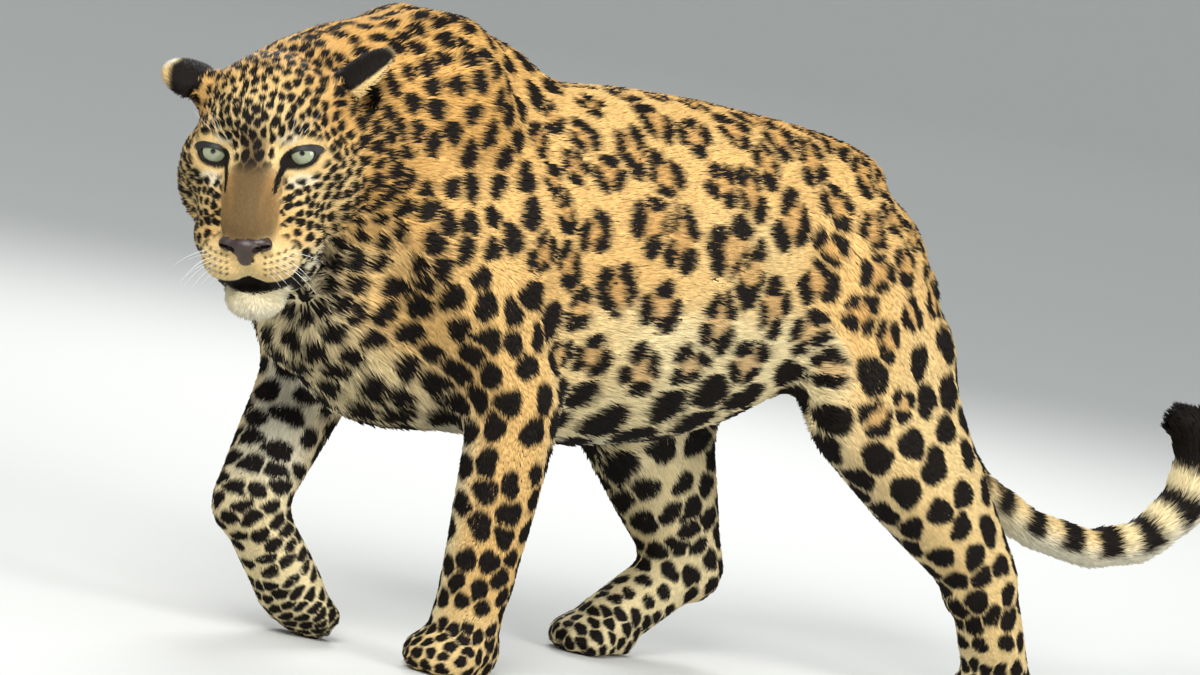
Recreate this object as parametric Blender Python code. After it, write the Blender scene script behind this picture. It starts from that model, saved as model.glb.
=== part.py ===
"""A leopard in mid walk, life size, with its head turned to the left.

The animal faces -Y, its left side is +X, and the floor is z = 0.
Flesh is shaped as overlapping masses of bone and muscle, blended into one
skin and then parted into named pieces at the joints.
"""

import math

import bmesh
import bpy
from mathutils import Euler, Matrix, Vector

# Fineness of the blended skins, and the gap left between pieces that meet.
BODY_GRAIN = 0.0065
HEAD_GRAIN = 0.0034
BODY_TRIANGLES = 6600
HEAD_TRIANGLES = 3000
JOINT_GAP = 0.0003

# Head: the point midway between the eyes, and how the head is held.
EYES_MIDDLE = Vector((0.098, -0.637, 0.525))
HEAD_TURN = math.radians(46)
HEAD_NOD = math.radians(-15)
HEAD_TILT = math.radians(-9)
EYE_APART = 0.0455
EYE_RADIUS = 0.0160
EYE_BEHIND = -0.004

# Where the head is parted from the neck, and which way it faces there.
NECK_END = (0.016, -0.558, 0.545)
NECK_AXIS = (0.500, -0.850, -0.100)

# Each ear: middle of its root, its tip, and the way the cup opens, about the eyes.
EARS = {
    1: ((0.075, -0.074, 0.050), (0.130, -0.086, 0.088), (0.55, -0.25, -0.80)),
    -1: ((-0.070, -0.080, 0.046), (-0.115, -0.090, 0.071), (-0.34, -0.25, -0.90)),
}

# Joints of the legs: left and right fore, left and right hind.
SHOULDER_L = Vector((0.098, -0.382, 0.460))
ELBOW_L = Vector((0.112, -0.256, 0.300))
WRIST_L = Vector((0.106, -0.264, 0.105))
PAW_L = Vector((0.103, -0.270, 0.030))

SHOULDER_R = Vector((-0.100, -0.462, 0.445))
ELBOW_R = Vector((-0.116, -0.362, 0.295))
WRIST_R = Vector((-0.074, -0.452, 0.142))
PAW_R = Vector((-0.066, -0.380, 0.050))

HIP_L = Vector((0.080, 0.205, 0.508))
KNEE_L = Vector((0.116, 0.222, 0.336))
HOCK_L = Vector((0.128, 0.458, 0.158))
BALL_L = Vector((0.122, 0.522, 0.030))

HIP_R = Vector((-0.080, 0.205, 0.508))
KNEE_R = Vector((-0.108, 0.045, 0.330))
HOCK_R = Vector((-0.090, 0.196, 0.112))
BALL_R = Vector((-0.084, 0.078, 0.030))

# Trunk from breast to rump: place along the body, back, belly, half width,
# and how far up the section it is widest.
TRUNK = (
    (-0.480, 0.500, 0.375, 0.045, 0.50),
    (-0.445, 0.590, 0.315, 0.090, 0.45),
    (-0.390, 0.655, 0.272, 0.112, 0.45),
    (-0.320, 0.652, 0.250, 0.122, 0.45),
    (-0.230, 0.643, 0.243, 0.130, 0.45),
    (-0.110, 0.652, 0.244, 0.142, 0.45),
    (0.000, 0.652, 0.257, 0.144, 0.46),
    (0.090, 0.646, 0.284, 0.134, 0.48),
    (0.170, 0.631, 0.325, 0.116, 0.52),
    (0.250, 0.598, 0.375, 0.104, 0.55),
    (0.315, 0.560, 0.430, 0.080, 0.55),
    (0.370, 0.532, 0.465, 0.046, 0.50),
)

# Neck from between the shoulders into the skull: centre, half width, half depth.
NECK = (
    ((0.000, -0.260, 0.500), 0.080, 0.128),
    ((0.000, -0.340, 0.512), 0.108, 0.172),
    ((0.002, -0.420, 0.538), 0.116, 0.163),
    ((0.012, -0.490, 0.543), 0.110, 0.132),
    ((0.032, -0.545, 0.535), 0.100, 0.112),
    ((0.055, -0.585, 0.525), 0.080, 0.085),
)

# Tail along its bones: centre and radius.
TAIL = (
    ((0.000, 0.270, 0.560), 0.042),
    ((0.000, 0.338, 0.528), 0.038),
    ((-0.004, 0.388, 0.468), 0.034),
    ((-0.010, 0.425, 0.395), 0.030),
    ((-0.016, 0.482, 0.310), 0.027),
    ((-0.020, 0.565, 0.242), 0.026),
    ((-0.020, 0.665, 0.200), 0.026),
    ((-0.016, 0.765, 0.182), 0.027),
    ((-0.010, 0.845, 0.196), 0.029),
    ((-0.006, 0.902, 0.240), 0.032),
    ((-0.004, 0.922, 0.298), 0.034),
    ((-0.004, 0.900, 0.346), 0.032),
    ((-0.004, 0.862, 0.356), 0.025),
)


# Toes of a paw: place across, place ahead, and half width.
TOES = (
    (-0.0330, 0.022, 0.0165),
    (-0.0118, 0.037, 0.0175),
    (0.0118, 0.037, 0.0175),
    (0.0330, 0.022, 0.0165),
)

# An ear's shell: half width, reach along the ear in its own lengths, half
# thickness, and where its middle lies. Then the same for the cup inside it.
EAR_SHELL = (0.0320, 0.72, 0.0175)
EAR_SHELL_AT = (0.30, 0.0)
EAR_CUP = (0.0250, 0.50, 0.0165)
EAR_CUP_AT = (0.42, 0.0125)
EAR_STUMP = 0.006

# Eye openings: half sizes of the almond between the lids, and its slant.
LIDS_OPEN = (0.0150, 0.0200, 0.0082)
LIDS_SLANT = math.radians(12)

# Nose leather, about the eyes: its pieces, then the nostrils as centre and half sizes.
NOSE_WING = ((0.0168, 0.0795, -0.0715), (0.0118, 0.0100, 0.0088), 14)
NOSE_MIDDLE = ((0.0, 0.0845, -0.0740), (0.0160, 0.0110, 0.0112))
NOSE_TIP = ((0.0, 0.0830, -0.0855), (0.0082, 0.0090, 0.0100))
NOSE_GRAIN = 0.0014
NOSE_TRIANGLES = 260
NOSTRILS = (
    ((0.0140, 0.0910, -0.0760), (0.0054, 0.0085, 0.0038)),
    ((0.0208, 0.0855, -0.0728), (0.0062, 0.0060, 0.0023)),
)

# Line of the mouth, seen from the side about the eyes: a little open in front,
# closing to the corners, then down behind the jaw.
MOUTH_HALF_WIDTH = 0.090
MOUTH = (
    (0.120, -0.1160),
    (0.120, -0.1265),
    (0.002, -0.1262),
    (0.002, -0.2100),
    (0.0017, -0.2100),
    (0.0017, -0.1259),
    (0.004, -0.1256),
)

# What each piece is called, and about where its middle lies.
PLACES = {
    "inside_head": (0.050, -0.600, 0.530),
    "neck": (0.010, -0.520, 0.530),
    "chest": (0.000, -0.330, 0.460),
    "barrel": (0.000, -0.090, 0.450),
    "hips": (0.000, 0.200, 0.500),
    "thigh_left": (0.110, 0.200, 0.430),
    "thigh_right": (-0.110, 0.150, 0.420),
    "shank_left": (0.120, 0.350, 0.240),
    "shank_right": (-0.100, 0.120, 0.200),
    "hind_foot_left": (0.125, 0.500, 0.060),
    "hind_foot_right": (-0.087, 0.120, 0.055),
    "forearm_left": (0.110, -0.275, 0.180),
    "forearm_right": (-0.095, -0.400, 0.200),
    "fore_paw_left": (0.103, -0.280, 0.050),
    "fore_paw_right": (-0.070, -0.410, 0.065),
    "tail_1": (-0.012, 0.470, 0.360),
    "tail_2": (-0.020, 0.660, 0.210),
    "tail_3": (-0.010, 0.840, 0.200),
    "tail_4": (-0.004, 0.900, 0.300),
}

# Colour, roughness and pieces of each coat.
COATS = {
    "tawny coat": (
        (0.55, 0.31, 0.10),
        0.85,
        ("head", "neck", "chest", "barrel", "hips", "thigh_left", "thigh_right"),
    ),
    "pale coat": (
        (0.66, 0.47, 0.25),
        0.85,
        ("shank_left", "shank_right", "forearm_left", "forearm_right", "jaw"),
    ),
    "paw coat": (
        (0.62, 0.46, 0.30),
        0.85,
        ("fore_paw_left", "fore_paw_right", "hind_foot_left", "hind_foot_right"),
    ),
    "tail coat": ((0.50, 0.36, 0.20), 0.85, ("tail_1", "tail_2", "tail_3")),
    "black coat": ((0.02, 0.016, 0.014), 0.80, ("tail_4", "ear_left", "ear_right")),
    "nose leather": ((0.09, 0.04, 0.04), 0.45, ("nose",)),
    "eye": ((0.42, 0.44, 0.36), 0.08, ("eye_left", "eye_right")),
}


for old in list(bpy.data.objects):
    bpy.data.objects.remove(old)


def head_matrix():
    """Places what is built about the eyes: x to the animal's left, y forward out of the face, z up."""
    face = Matrix.Rotation(math.pi, 4, "Z")
    tilt = Matrix.Rotation(HEAD_TILT, 4, "Y")
    nod = Matrix.Rotation(-HEAD_NOD, 4, "X")
    turn = Matrix.Rotation(HEAD_TURN, 4, "Z")
    mirror = Matrix.Scale(-1, 4, (1, 0, 0))
    return Matrix.Translation(EYES_MIDDLE) @ turn @ nod @ tilt @ face @ mirror


def ring(centre, tangent, across, deep, side, count):
    """Points of one section square to the tangent."""
    tangent = Vector(tangent).normalized()
    out = Vector(side)
    out = (out - tangent * out.dot(tangent)).normalized()
    high = out.cross(tangent).normalized()
    points = []
    for step in range(count):
        turn = 2 * math.pi * step / count
        points.append(Vector(centre) + out * math.cos(turn) * across + high * math.sin(turn) * deep)
    return points


def loft(bm, rings):
    """A closed tube through the rings."""
    rows = [[bm.verts.new(point) for point in points] for points in rings]
    count = len(rows[0])
    for first, second in zip(rows, rows[1:]):
        for step in range(count):
            after = (step + 1) % count
            bm.faces.new((first[step], first[after], second[after], second[step]))
    bm.faces.new(rows[0][::-1])
    bm.faces.new(rows[-1])


def tube(bm, stations, side=(1, 0, 0), count=24):
    """Stations are (centre, half width across, half depth)."""
    centres = [Vector(station[0]) for station in stations]
    rings = []
    for index, (centre, across, deep) in enumerate(stations):
        before = centres[max(index - 1, 0)]
        after = centres[min(index + 1, len(centres) - 1)]
        rings.append(ring(centre, after - before, across, deep, side, count))
    loft(bm, rings)


def limb(bm, start, end, start_size, end_size, bulge=1.0, side=(1, 0, 0)):
    """A round-ended length of leg. Sizes are (half width across, half depth fore and aft)."""
    start = Vector(start)
    end = Vector(end)
    along = end - start
    stations = []
    for part in (-0.14, -0.08, 0.0, 0.2, 0.4, 0.6, 0.8, 1.0, 1.08, 1.14):
        inside = min(max(part, 0.0), 1.0)
        swell = 1.0 + (bulge - 1.0) * math.sin(math.pi * inside) ** 1.2
        close = 1.0 if 0.0 <= part <= 1.0 else (0.86 if part in (-0.08, 1.08) else 0.5)
        across = (start_size[0] + (end_size[0] - start_size[0]) * inside) * swell * close
        deep = (start_size[1] + (end_size[1] - start_size[1]) * inside) * swell * close
        if part != inside:
            reach = inside + (part - inside) * min(end_size[1], start_size[1]) / along.length * 7
        else:
            reach = part
        stations.append((start + along * reach, across, deep))
    tube(bm, stations, side)


def mass(bm, centre, radii, turn=(0, 0, 0), place=None):
    """A rounded muscle or bone, as an ellipsoid turned about its own centre."""
    spin = Euler([math.radians(angle) for angle in turn]).to_matrix().to_4x4()
    size = Matrix.Diagonal((*radii, 1.0))
    where = Matrix.Translation(centre) @ spin @ size
    if place is not None:
        where = place @ where
    bmesh.ops.create_uvsphere(bm, u_segments=24, v_segments=16, radius=1.0, matrix=where)


def both(bm, centre, radii, turn=(0, 0, 0), place=None):
    """The same mass on the left and on the right."""
    mass(bm, centre, radii, turn, place)
    mirrored = (-centre[0], centre[1], centre[2])
    mass(bm, mirrored, radii, (turn[0], -turn[1], -turn[2]), place)


def made(name, bm):
    """An object that holds this mesh."""
    bmesh.ops.recalc_face_normals(bm, faces=bm.faces)
    mesh = bpy.data.meshes.new(name)
    bm.to_mesh(mesh)
    bm.free()
    obj = bpy.data.objects.new(name, mesh)
    bpy.context.scene.collection.objects.link(obj)
    return obj


def settled(obj):
    """Replaces the object's mesh with what its modifiers make of it."""
    graph = bpy.context.evaluated_depsgraph_get()
    graph.update()
    mesh = bpy.data.meshes.new_from_object(obj.evaluated_get(graph))
    obj.modifiers.clear()
    obj.data = mesh
    return obj


def triangles(obj):
    obj.data.calc_loop_triangles()
    return len(obj.data.loop_triangles)


def blended(obj, grain, rounds, target, softness):
    """One closed skin over the overlapping masses, smoothed, with about this many triangles.

    softness(point) says how far a place is smoothed, from 0 to 1.
    """
    remesh = obj.modifiers.new("Blend", "REMESH")
    remesh.mode = "VOXEL"
    remesh.voxel_size = grain
    settled(obj)
    group = obj.vertex_groups.new(name="soft")
    for vertex in obj.data.vertices:
        group.add([vertex.index], softness(vertex.co), "REPLACE")
    smooth = obj.modifiers.new("Soften", "SMOOTH")
    smooth.factor = 0.5
    smooth.iterations = rounds
    smooth.vertex_group = group.name
    settled(obj)
    thin = obj.modifiers.new("Thin", "DECIMATE")
    thin.ratio = target / triangles(obj)
    thin.use_collapse_triangulate = True
    return settled(obj)


def helper(obj):
    """A cutter: kept in the file, not part of the object."""
    obj.hide_render = True
    obj.display_type = "WIRE"
    return obj


def cut(obj, cutter, operation="DIFFERENCE"):
    boolean = obj.modifiers.new(cutter.name, "BOOLEAN")
    boolean.operation = operation
    boolean.solver = "EXACT"
    boolean.object = cutter
    settled(obj)
    bpy.data.objects.remove(cutter)


def slab(bm, centre, normal, width, height, side=(1, 0, 0)):
    """A cut as thin as the joint gap, square to the normal."""
    normal = Vector(normal).normalized()
    out = Vector(side)
    out = (out - normal * out.dot(normal)).normalized()
    high = normal.cross(out)
    turn = Matrix((out, high, normal)).transposed().to_4x4()
    size = Matrix.Diagonal((width, height, JOINT_GAP, 1.0))
    bmesh.ops.create_cube(bm, size=1.0, matrix=Matrix.Translation(centre) @ turn @ size)


def paw(bm, centre, heading, scale=1.0, place=None):
    """Palm, heel pad and an arc of four toes, along the heading, with the sole on the floor."""
    along = Vector((heading[0], heading[1], 0.0)).normalized()
    turn = Matrix.Rotation(math.atan2(-along.x, along.y), 4, "Z")
    base = Matrix.Translation((centre[0], centre[1], 0.0)) @ turn @ Matrix.Scale(scale, 4)
    if place is not None:
        base = place
    mass(bm, (0.0, -0.006, 0.030), (0.041, 0.044, 0.031), place=base)
    mass(bm, (0.0, -0.014, 0.014), (0.035, 0.036, 0.016), place=base)
    for across, ahead, width in TOES:
        mass(bm, (across, ahead, 0.0215), (width, 0.026, 0.0205), (-8, 0, -across * 300), place=base)
        mass(bm, (across * 1.04, ahead + 0.012, 0.0125), (width * 0.86, 0.016, 0.0135), place=base)


def head_masses(bm, place):
    """Bone and flesh of the head, about the eyes."""
    mass(bm, (0.0, -0.072, 0.002), (0.077, 0.088, 0.086), place=place)
    mass(bm, (0.0, -0.020, 0.030), (0.054, 0.046, 0.038), (-20, 0, 0), place)
    both(bm, (0.052, -0.030, -0.020), (0.038, 0.048, 0.042), (0, 0, 16), place)
    both(bm, (0.060, -0.055, -0.048), (0.039, 0.050, 0.054), (0, 8, 10), place)
    both(bm, (0.041, -0.013, 0.017), (0.027, 0.018, 0.013), (0, -14, 18), place)
    # Bridge of the nose, the pads that carry the whiskers, and the upper lip.
    bridge = (
        ((0.0, -0.024, 0.006), 0.036, 0.030),
        ((0.0, 0.018, -0.015), 0.032, 0.028),
        ((0.0, 0.050, -0.039), 0.030, 0.025),
        ((0.0, 0.072, -0.059), 0.028, 0.022),
        ((0.0, 0.082, -0.071), 0.022, 0.015),
    )
    across = place.to_3x3() @ Vector((1, 0, 0))
    tube(bm, [(place @ Vector(at), wide, deep) for at, wide, deep in bridge], across)
    both(bm, (0.036, 0.004, -0.056), (0.030, 0.046, 0.042), (-10, 0, 14), place)
    both(bm, (0.040, 0.018, -0.084), (0.028, 0.042, 0.026), (-10, 0, 20), place)
    both(bm, (0.0245, 0.054, -0.095), (0.0285, 0.033, 0.0225), (-16, 0, 16), place)
    mass(bm, (0.0, 0.054, -0.080), (0.032, 0.030, 0.030), place=place)
    # Lids round the eyes.
    both(bm, (EYE_APART, -0.005, 0.0), (0.0195, 0.0185, 0.0175), place=place)
    # Stumps of the ears.
    for side in (1, -1):
        root, tip, _ = EARS[side]
        middle = Vector(root).lerp(Vector(tip), -0.12)
        mass(bm, middle, (0.026, 0.024, 0.024), place=place)
    # Under jaw, chin and throat.
    both(bm, (0.030, -0.004, -0.118), (0.024, 0.052, 0.029), (-8, 0, 20), place)
    mass(bm, (0.0, 0.004, -0.128), (0.038, 0.050, 0.028), (-6, 0, 0), place)
    mass(bm, (0.0, -0.045, -0.095), (0.056, 0.056, 0.052), place=place)
    mass(bm, (0.0, 0.036, -0.142), (0.033, 0.034, 0.024), (-10, 0, 0), place)


def settle_union(obj):
    """Makes the overlapping masses of one object into one closed skin."""
    remesh = obj.modifiers.new("Blend", "REMESH")
    remesh.mode = "VOXEL"
    remesh.voxel_size = NOSE_GRAIN
    settled(obj)
    thin = obj.modifiers.new("Thin", "DECIMATE")
    thin.ratio = NOSE_TRIANGLES / triangles(obj)
    thin.use_collapse_triangulate = True
    settled(obj)


def body_clay():
    """Trunk, neck, legs and tail."""
    bm = bmesh.new()
    rings = []
    for along, back, belly, half, wide in TRUNK:
        middle = belly + (back - belly) * wide
        points = []
        for step in range(32):
            turn = 2 * math.pi * step / 32
            rise = math.sin(turn)
            across = math.copysign(abs(math.cos(turn)) ** 0.88, math.cos(turn))
            high = (back - middle) if rise > 0 else (middle - belly)
            up = math.copysign(abs(rise) ** 0.94, rise)
            points.append(Vector((half * across, along, middle + high * up)))
        rings.append(points)
    loft(bm, rings)
    tube(bm, NECK, count=32)
    head_masses(bm, head_matrix())
    tube(bm, [(centre, radius, radius) for centre, radius in TAIL], count=20)

    # Breast, brisket and the thick skin of the throat.
    mass(bm, (-0.004, -0.445, 0.400), (0.096, 0.074, 0.112), (-20, 0, 0))
    mass(bm, (0.004, -0.466, 0.440), (0.088, 0.072, 0.105), (-20, 0, 0))
    mass(bm, (0.000, -0.340, 0.312), (0.084, 0.130, 0.070))
    # Crest of the withers, and the loins.
    both(bm, (0.034, -0.385, 0.648), (0.042, 0.080, 0.060), (6, 10, 0))
    mass(bm, (0.000, -0.330, 0.610), (0.060, 0.130, 0.078), (4, 0, 0))
    both(bm, (0.045, 0.080, 0.600), (0.045, 0.200, 0.045))

    # Left shoulder: blade, point, upper arm and the muscle behind it.
    mass(bm, (0.082, -0.374, 0.550), (0.037, 0.074, 0.132), (6, 12, 0))
    mass(bm, SHOULDER_L + Vector((0.006, -0.004, -0.005)), (0.046, 0.062, 0.070), (10, 0, 0))
    mass(bm, (0.104, -0.296, 0.420), (0.044, 0.062, 0.125), (-8, 4, 0))
    limb(bm, SHOULDER_L, ELBOW_L, (0.048, 0.062), (0.046, 0.052))
    mass(bm, (0.112, -0.240, 0.315), (0.034, 0.030, 0.042))
    # Right shoulder, swung forward.
    mass(bm, (-0.082, -0.395, 0.545), (0.037, 0.080, 0.132), (22, -12, 0))
    mass(bm, SHOULDER_R + Vector((0.0, -0.004, -0.005)), (0.046, 0.060, 0.070), (10, 0, 0))
    mass(bm, (-0.098, -0.355, 0.430), (0.046, 0.065, 0.115), (5, -4, 0))
    mass(bm, ELBOW_R + Vector((0.004, 0.022, -0.010)), (0.040, 0.042, 0.046))
    limb(bm, SHOULDER_R, ELBOW_R, (0.050, 0.066), (0.048, 0.058))

    # Left foreleg, standing.
    limb(bm, ELBOW_L, WRIST_L, (0.044, 0.058), (0.039, 0.041), 1.04)
    mass(bm, WRIST_L, (0.041, 0.043, 0.042))
    limb(bm, WRIST_L, PAW_L, (0.038, 0.038), (0.042, 0.038))
    paw(bm, PAW_L, (0.18, -1.0))
    # Right foreleg, swinging, with the paw folded back at the wrist.
    limb(bm, ELBOW_R, WRIST_R, (0.047, 0.062), (0.039, 0.042), 1.04)
    mass(bm, WRIST_R, (0.041, 0.043, 0.043))
    limb(bm, WRIST_R, PAW_R, (0.037, 0.036), (0.043, 0.036))
    hang = (PAW_R - WRIST_R).normalized()
    rise = Vector((0, 1, 0)) - hang * hang.y
    rise = -rise.normalized()
    left = hang.cross(rise)
    paw_place = Matrix((left, hang, rise)).transposed().to_4x4()
    paw_place.translation = PAW_R + hang * 0.004 - rise * 0.024
    paw(bm, PAW_R, (0, 0), place=paw_place)

    # Left hind leg, stretched back.
    limb(bm, HIP_L, KNEE_L, (0.056, 0.098), (0.050, 0.070), 1.10)
    mass(bm, (0.080, 0.262, 0.470), (0.050, 0.072, 0.110), (20, 0, 0))
    mass(bm, (0.098, 0.300, 0.395), (0.046, 0.080, 0.090), (35, 0, 0))
    mass(bm, KNEE_L + Vector((0.000, -0.022, 0.004)), (0.044, 0.046, 0.058), (-20, 0, 0))
    limb(bm, KNEE_L, HOCK_L, (0.050, 0.068), (0.037, 0.044), 1.10)
    limb(bm, (0.108, 0.320, 0.360), HOCK_L + Vector((0.0, 0.016, 0.018)), (0.040, 0.056), (0.026, 0.026))
    mass(bm, HOCK_L + Vector((0.0, -0.002, -0.006)), (0.038, 0.056, 0.048), (35, 0, 0))
    limb(bm, HOCK_L, BALL_L, (0.036, 0.044), (0.041, 0.038))
    paw(bm, BALL_L, (0.05, -1.0), 0.97)
    # Right hind leg, set forward under the belly.
    limb(bm, HIP_R, KNEE_R, (0.056, 0.098), (0.050, 0.078), 1.08)
    mass(bm, (-0.080, 0.250, 0.465), (0.050, 0.075, 0.110), (5, 0, 0))
    mass(bm, (-0.092, 0.190, 0.370), (0.046, 0.085, 0.090), (-30, 0, 0))
    mass(bm, KNEE_R + Vector((0.0, -0.012, 0.004)), (0.044, 0.046, 0.058), (10, 0, 0))
    limb(bm, KNEE_R, HOCK_R, (0.052, 0.084), (0.038, 0.044), 1.06)
    limb(bm, (-0.095, 0.130, 0.320), HOCK_R + Vector((0.0, 0.014, 0.018)), (0.040, 0.056), (0.028, 0.028))
    mass(bm, HOCK_R + Vector((0.0, 0.008, -0.004)), (0.036, 0.042, 0.045))
    limb(bm, HOCK_R, BALL_R, (0.035, 0.040), (0.041, 0.034))
    paw(bm, BALL_R, (0.04, -1.0), 0.97)

    def softness(point):
        if point.y > 0.40 and point.x < 0.05:
            return 0.15
        past_neck = (point - Vector(NECK_END)).dot(Vector(NECK_AXIS).normalized())
        near_head = min(max(-0.15 - past_neck / 0.08, 0.10), 1.0)
        return min(max((point.z - 0.06) / 0.28, 0.12), near_head)

    return blended(made("body", bm), BODY_GRAIN, 130, BODY_TRIANGLES, softness)


def head_clay():
    """Skull, cheeks, muzzle and jaw, with the start of the neck."""
    place = head_matrix()
    bm = bmesh.new()
    tube(bm, NECK[2:], count=32)
    head_masses(bm, place)
    back = place.inverted()

    def softness(point):
        ahead = (back @ point).y
        return min(max((0.05 - ahead) / 0.10, 0.50), 1.0)

    return blended(made("head", bm), HEAD_GRAIN, 48, HEAD_TRIANGLES, softness)


def box(name, place, size):
    """A box cutter. Its near face is at the middle of place, and it reaches along +Z from there."""
    bm = bmesh.new()
    shift = Matrix.Translation((0.0, 0.0, 0.5))
    bmesh.ops.create_cube(bm, size=1.0, matrix=place @ Matrix.Diagonal((*size, 1.0)) @ shift)
    return helper(made(name, bm))


def ball(name, centre, radii, place):
    """A ball or egg about the eyes."""
    bm = bmesh.new()
    where = place @ Matrix.Translation(centre) @ Matrix.Diagonal((*radii, 1.0))
    bmesh.ops.create_uvsphere(bm, u_segments=18, v_segments=10, radius=1.0, matrix=where)
    return made(name, bm)


def facing(point, normal, side=(1, 0, 0)):
    """A frame whose Z is the normal and whose X is as near to the side as it can be."""
    normal = Vector(normal).normalized()
    out = Vector(side)
    out = (out - normal * out.dot(normal)).normalized()
    turn = Matrix((out, normal.cross(out), normal)).transposed().to_4x4()
    turn.translation = point
    return turn


def bisected(obj, point, normal):
    """Keeps the side of the plane that the normal points to, closed with a flat face."""
    bm = bmesh.new()
    bm.from_mesh(obj.data)
    geometry = bm.verts[:] + bm.edges[:] + bm.faces[:]
    bmesh.ops.bisect_plane(bm, geom=geometry, dist=1e-7, plane_co=point, plane_no=normal, clear_inner=True)
    open_edges = [edge for edge in bm.edges if edge.is_boundary]
    bmesh.ops.holes_fill(bm, edges=open_edges, sides=0)
    bmesh.ops.triangulate(bm, faces=bm.faces[:])
    bm.to_mesh(obj.data)
    bm.free()
    return obj


def islands(obj):
    """Splits an object into one object for each closed body."""
    bm = bmesh.new()
    bm.from_mesh(obj.data)
    found = []
    waiting = set(bm.verts)
    while waiting:
        start = waiting.pop()
        group = {start}
        edge_of_group = [start]
        while edge_of_group:
            vertex = edge_of_group.pop()
            for edge in vertex.link_edges:
                other = edge.other_vert(vertex)
                if other not in group:
                    group.add(other)
                    edge_of_group.append(other)
        waiting -= group
        found.append(group)
    parts = []
    for group in found:
        piece = bmesh.new()
        copies = {vertex: piece.verts.new(vertex.co) for vertex in group}
        faces = {face for vertex in group for face in vertex.link_faces}
        for face in faces:
            piece.faces.new([copies[vertex] for vertex in face.verts])
        parts.append(made("piece", piece))
    bm.free()
    bpy.data.objects.remove(obj)
    return parts


def middle_of(obj):
    low = Vector([min(vertex.co[axis] for vertex in obj.data.vertices) for axis in range(3)])
    high = Vector([max(vertex.co[axis] for vertex in obj.data.vertices) for axis in range(3)])
    return (low + high) / 2


def tail_cut(index):
    before = Vector(TAIL[index - 1][0])
    after = Vector(TAIL[index + 1][0])
    return TAIL[index][0], after - before, 0.085, 0.085


def joint(obj, centre, normal, width, height, side=(1, 0, 0)):
    """Cuts the object with a slab as thin as the joint gap."""
    bm = bmesh.new()
    slab(bm, centre, normal, width, height, side)
    cut(obj, helper(made("joint", bm)))


def named(pieces):
    """Gives each piece the name of the place it lies nearest to."""
    for piece in pieces:
        middle = middle_of(piece)
        name = min(PLACES, key=lambda key: (Vector(PLACES[key]) - middle).length)
        if name == "inside_head":
            bpy.data.objects.remove(piece)
        else:
            piece.name = name


def part_body(body):
    """Cuts the body at its joints, and names what comes free."""
    bisected(body, (0, 0, 0), (0, 0, 1))
    cuts = (
        (NECK_END, NECK_AXIS, 0.36, 0.40),
        ((0.0, -0.465, 0.55), (0.220, -0.930, 0.300), 0.36, 0.42),
        ((0.0, -0.185, 0.46), (0.0, 1.0, 0.0), 0.40, 0.56),
        ((0.0, 0.0025, 0.47), (0.0, 0.957, -0.290), 0.40, 0.50),
        ((0.117, 0.250, 0.325), (0.0, 0.500, -0.866), 0.160, 0.34),
        ((-0.103, 0.110, 0.272), (0.0, 0.250, -0.968), 0.150, 0.34),
        (HOCK_L, (0.0, 0.640, -0.770), 0.12, 0.20),
        (HOCK_R + Vector((0.0, -0.004, 0.006)), (0.0, -0.180, -0.984), 0.12, 0.22),
        ((0.112, -0.275, 0.262), (0.352, 0.0, -0.936), 0.150, 0.20),
        ((-0.108, -0.375, 0.262), (-0.300, -0.350, -0.890), 0.150, 0.26),
        (WRIST_L, (0.0, 0.0, -1.0), 0.12, 0.14),
        (WRIST_R, (0.180, 0.070, -0.980), 0.13, 0.15),
        tail_cut(3),
        tail_cut(5),
        tail_cut(7),
        tail_cut(9),
    )
    for centre, normal, width, height in cuts:
        joint(body, centre, normal, width, height)
    named(islands(body))
    hips = bpy.data.objects["hips"]
    joint(hips, (0.060, 0.180, 0.477), (0.980, 0.0, -0.200), 0.60, 0.56, (0, 1, 0))
    joint(hips, (-0.060, 0.180, 0.477), (-0.980, 0.0, -0.200), 0.60, 0.56, (0, 1, 0))
    named(islands(hips))


def nose_leather():
    """The bare nose: two wings over a tip that narrows to the groove of the lip."""
    place = head_matrix()
    bm = bmesh.new()
    wing, wing_size, wing_turn = NOSE_WING
    both(bm, wing, wing_size, (0, wing_turn, 0), place)
    mass(bm, *NOSE_MIDDLE, place=place)
    mass(bm, *NOSE_TIP, place=place)
    nose = made("nose", bm)
    settle_union(nose)
    return nose


def ear_ball(name, side, reach, at, grow=0.0):
    """One egg of an ear, laid in the ear's own frame: across, along the ear, out of the cup."""
    root, tip, opens = EARS[side]
    along = Vector(tip) - Vector(root)
    length = along.length
    frame = head_matrix() @ facing(root, opens, along.cross(Vector(opens)))
    wide, tall, thick = reach
    size = Matrix.Diagonal((wide + grow, tall * length + grow, thick + grow, 1.0))
    where = frame @ Matrix.Translation((0.0, at[0] * length, at[1])) @ size
    bm = bmesh.new()
    bmesh.ops.create_uvsphere(bm, u_segments=20, v_segments=12, radius=1.0, matrix=where)
    return made(name, bm)


def ear(side, name):
    """A round ear, hollowed on the side it opens to, cut flat at its root, and that flat's place."""
    obj = ear_ball(name, side, EAR_SHELL, EAR_SHELL_AT)
    # The neck behind makes room for the ear.
    cut(bpy.data.objects["neck"], helper(ear_ball("room", side, EAR_SHELL, EAR_SHELL_AT, JOINT_GAP * 2)))
    cut(obj, helper(ear_ball("cup", side, EAR_CUP, EAR_CUP_AT)))
    place = head_matrix()
    root, tip, _ = EARS[side]
    up = (place.to_3x3() @ (Vector(tip) - Vector(root))).normalized()
    foot = place @ Vector(root)
    bisected(obj, foot + up * EAR_STUMP, up)
    return foot + up * (EAR_STUMP - JOINT_GAP), up


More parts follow.
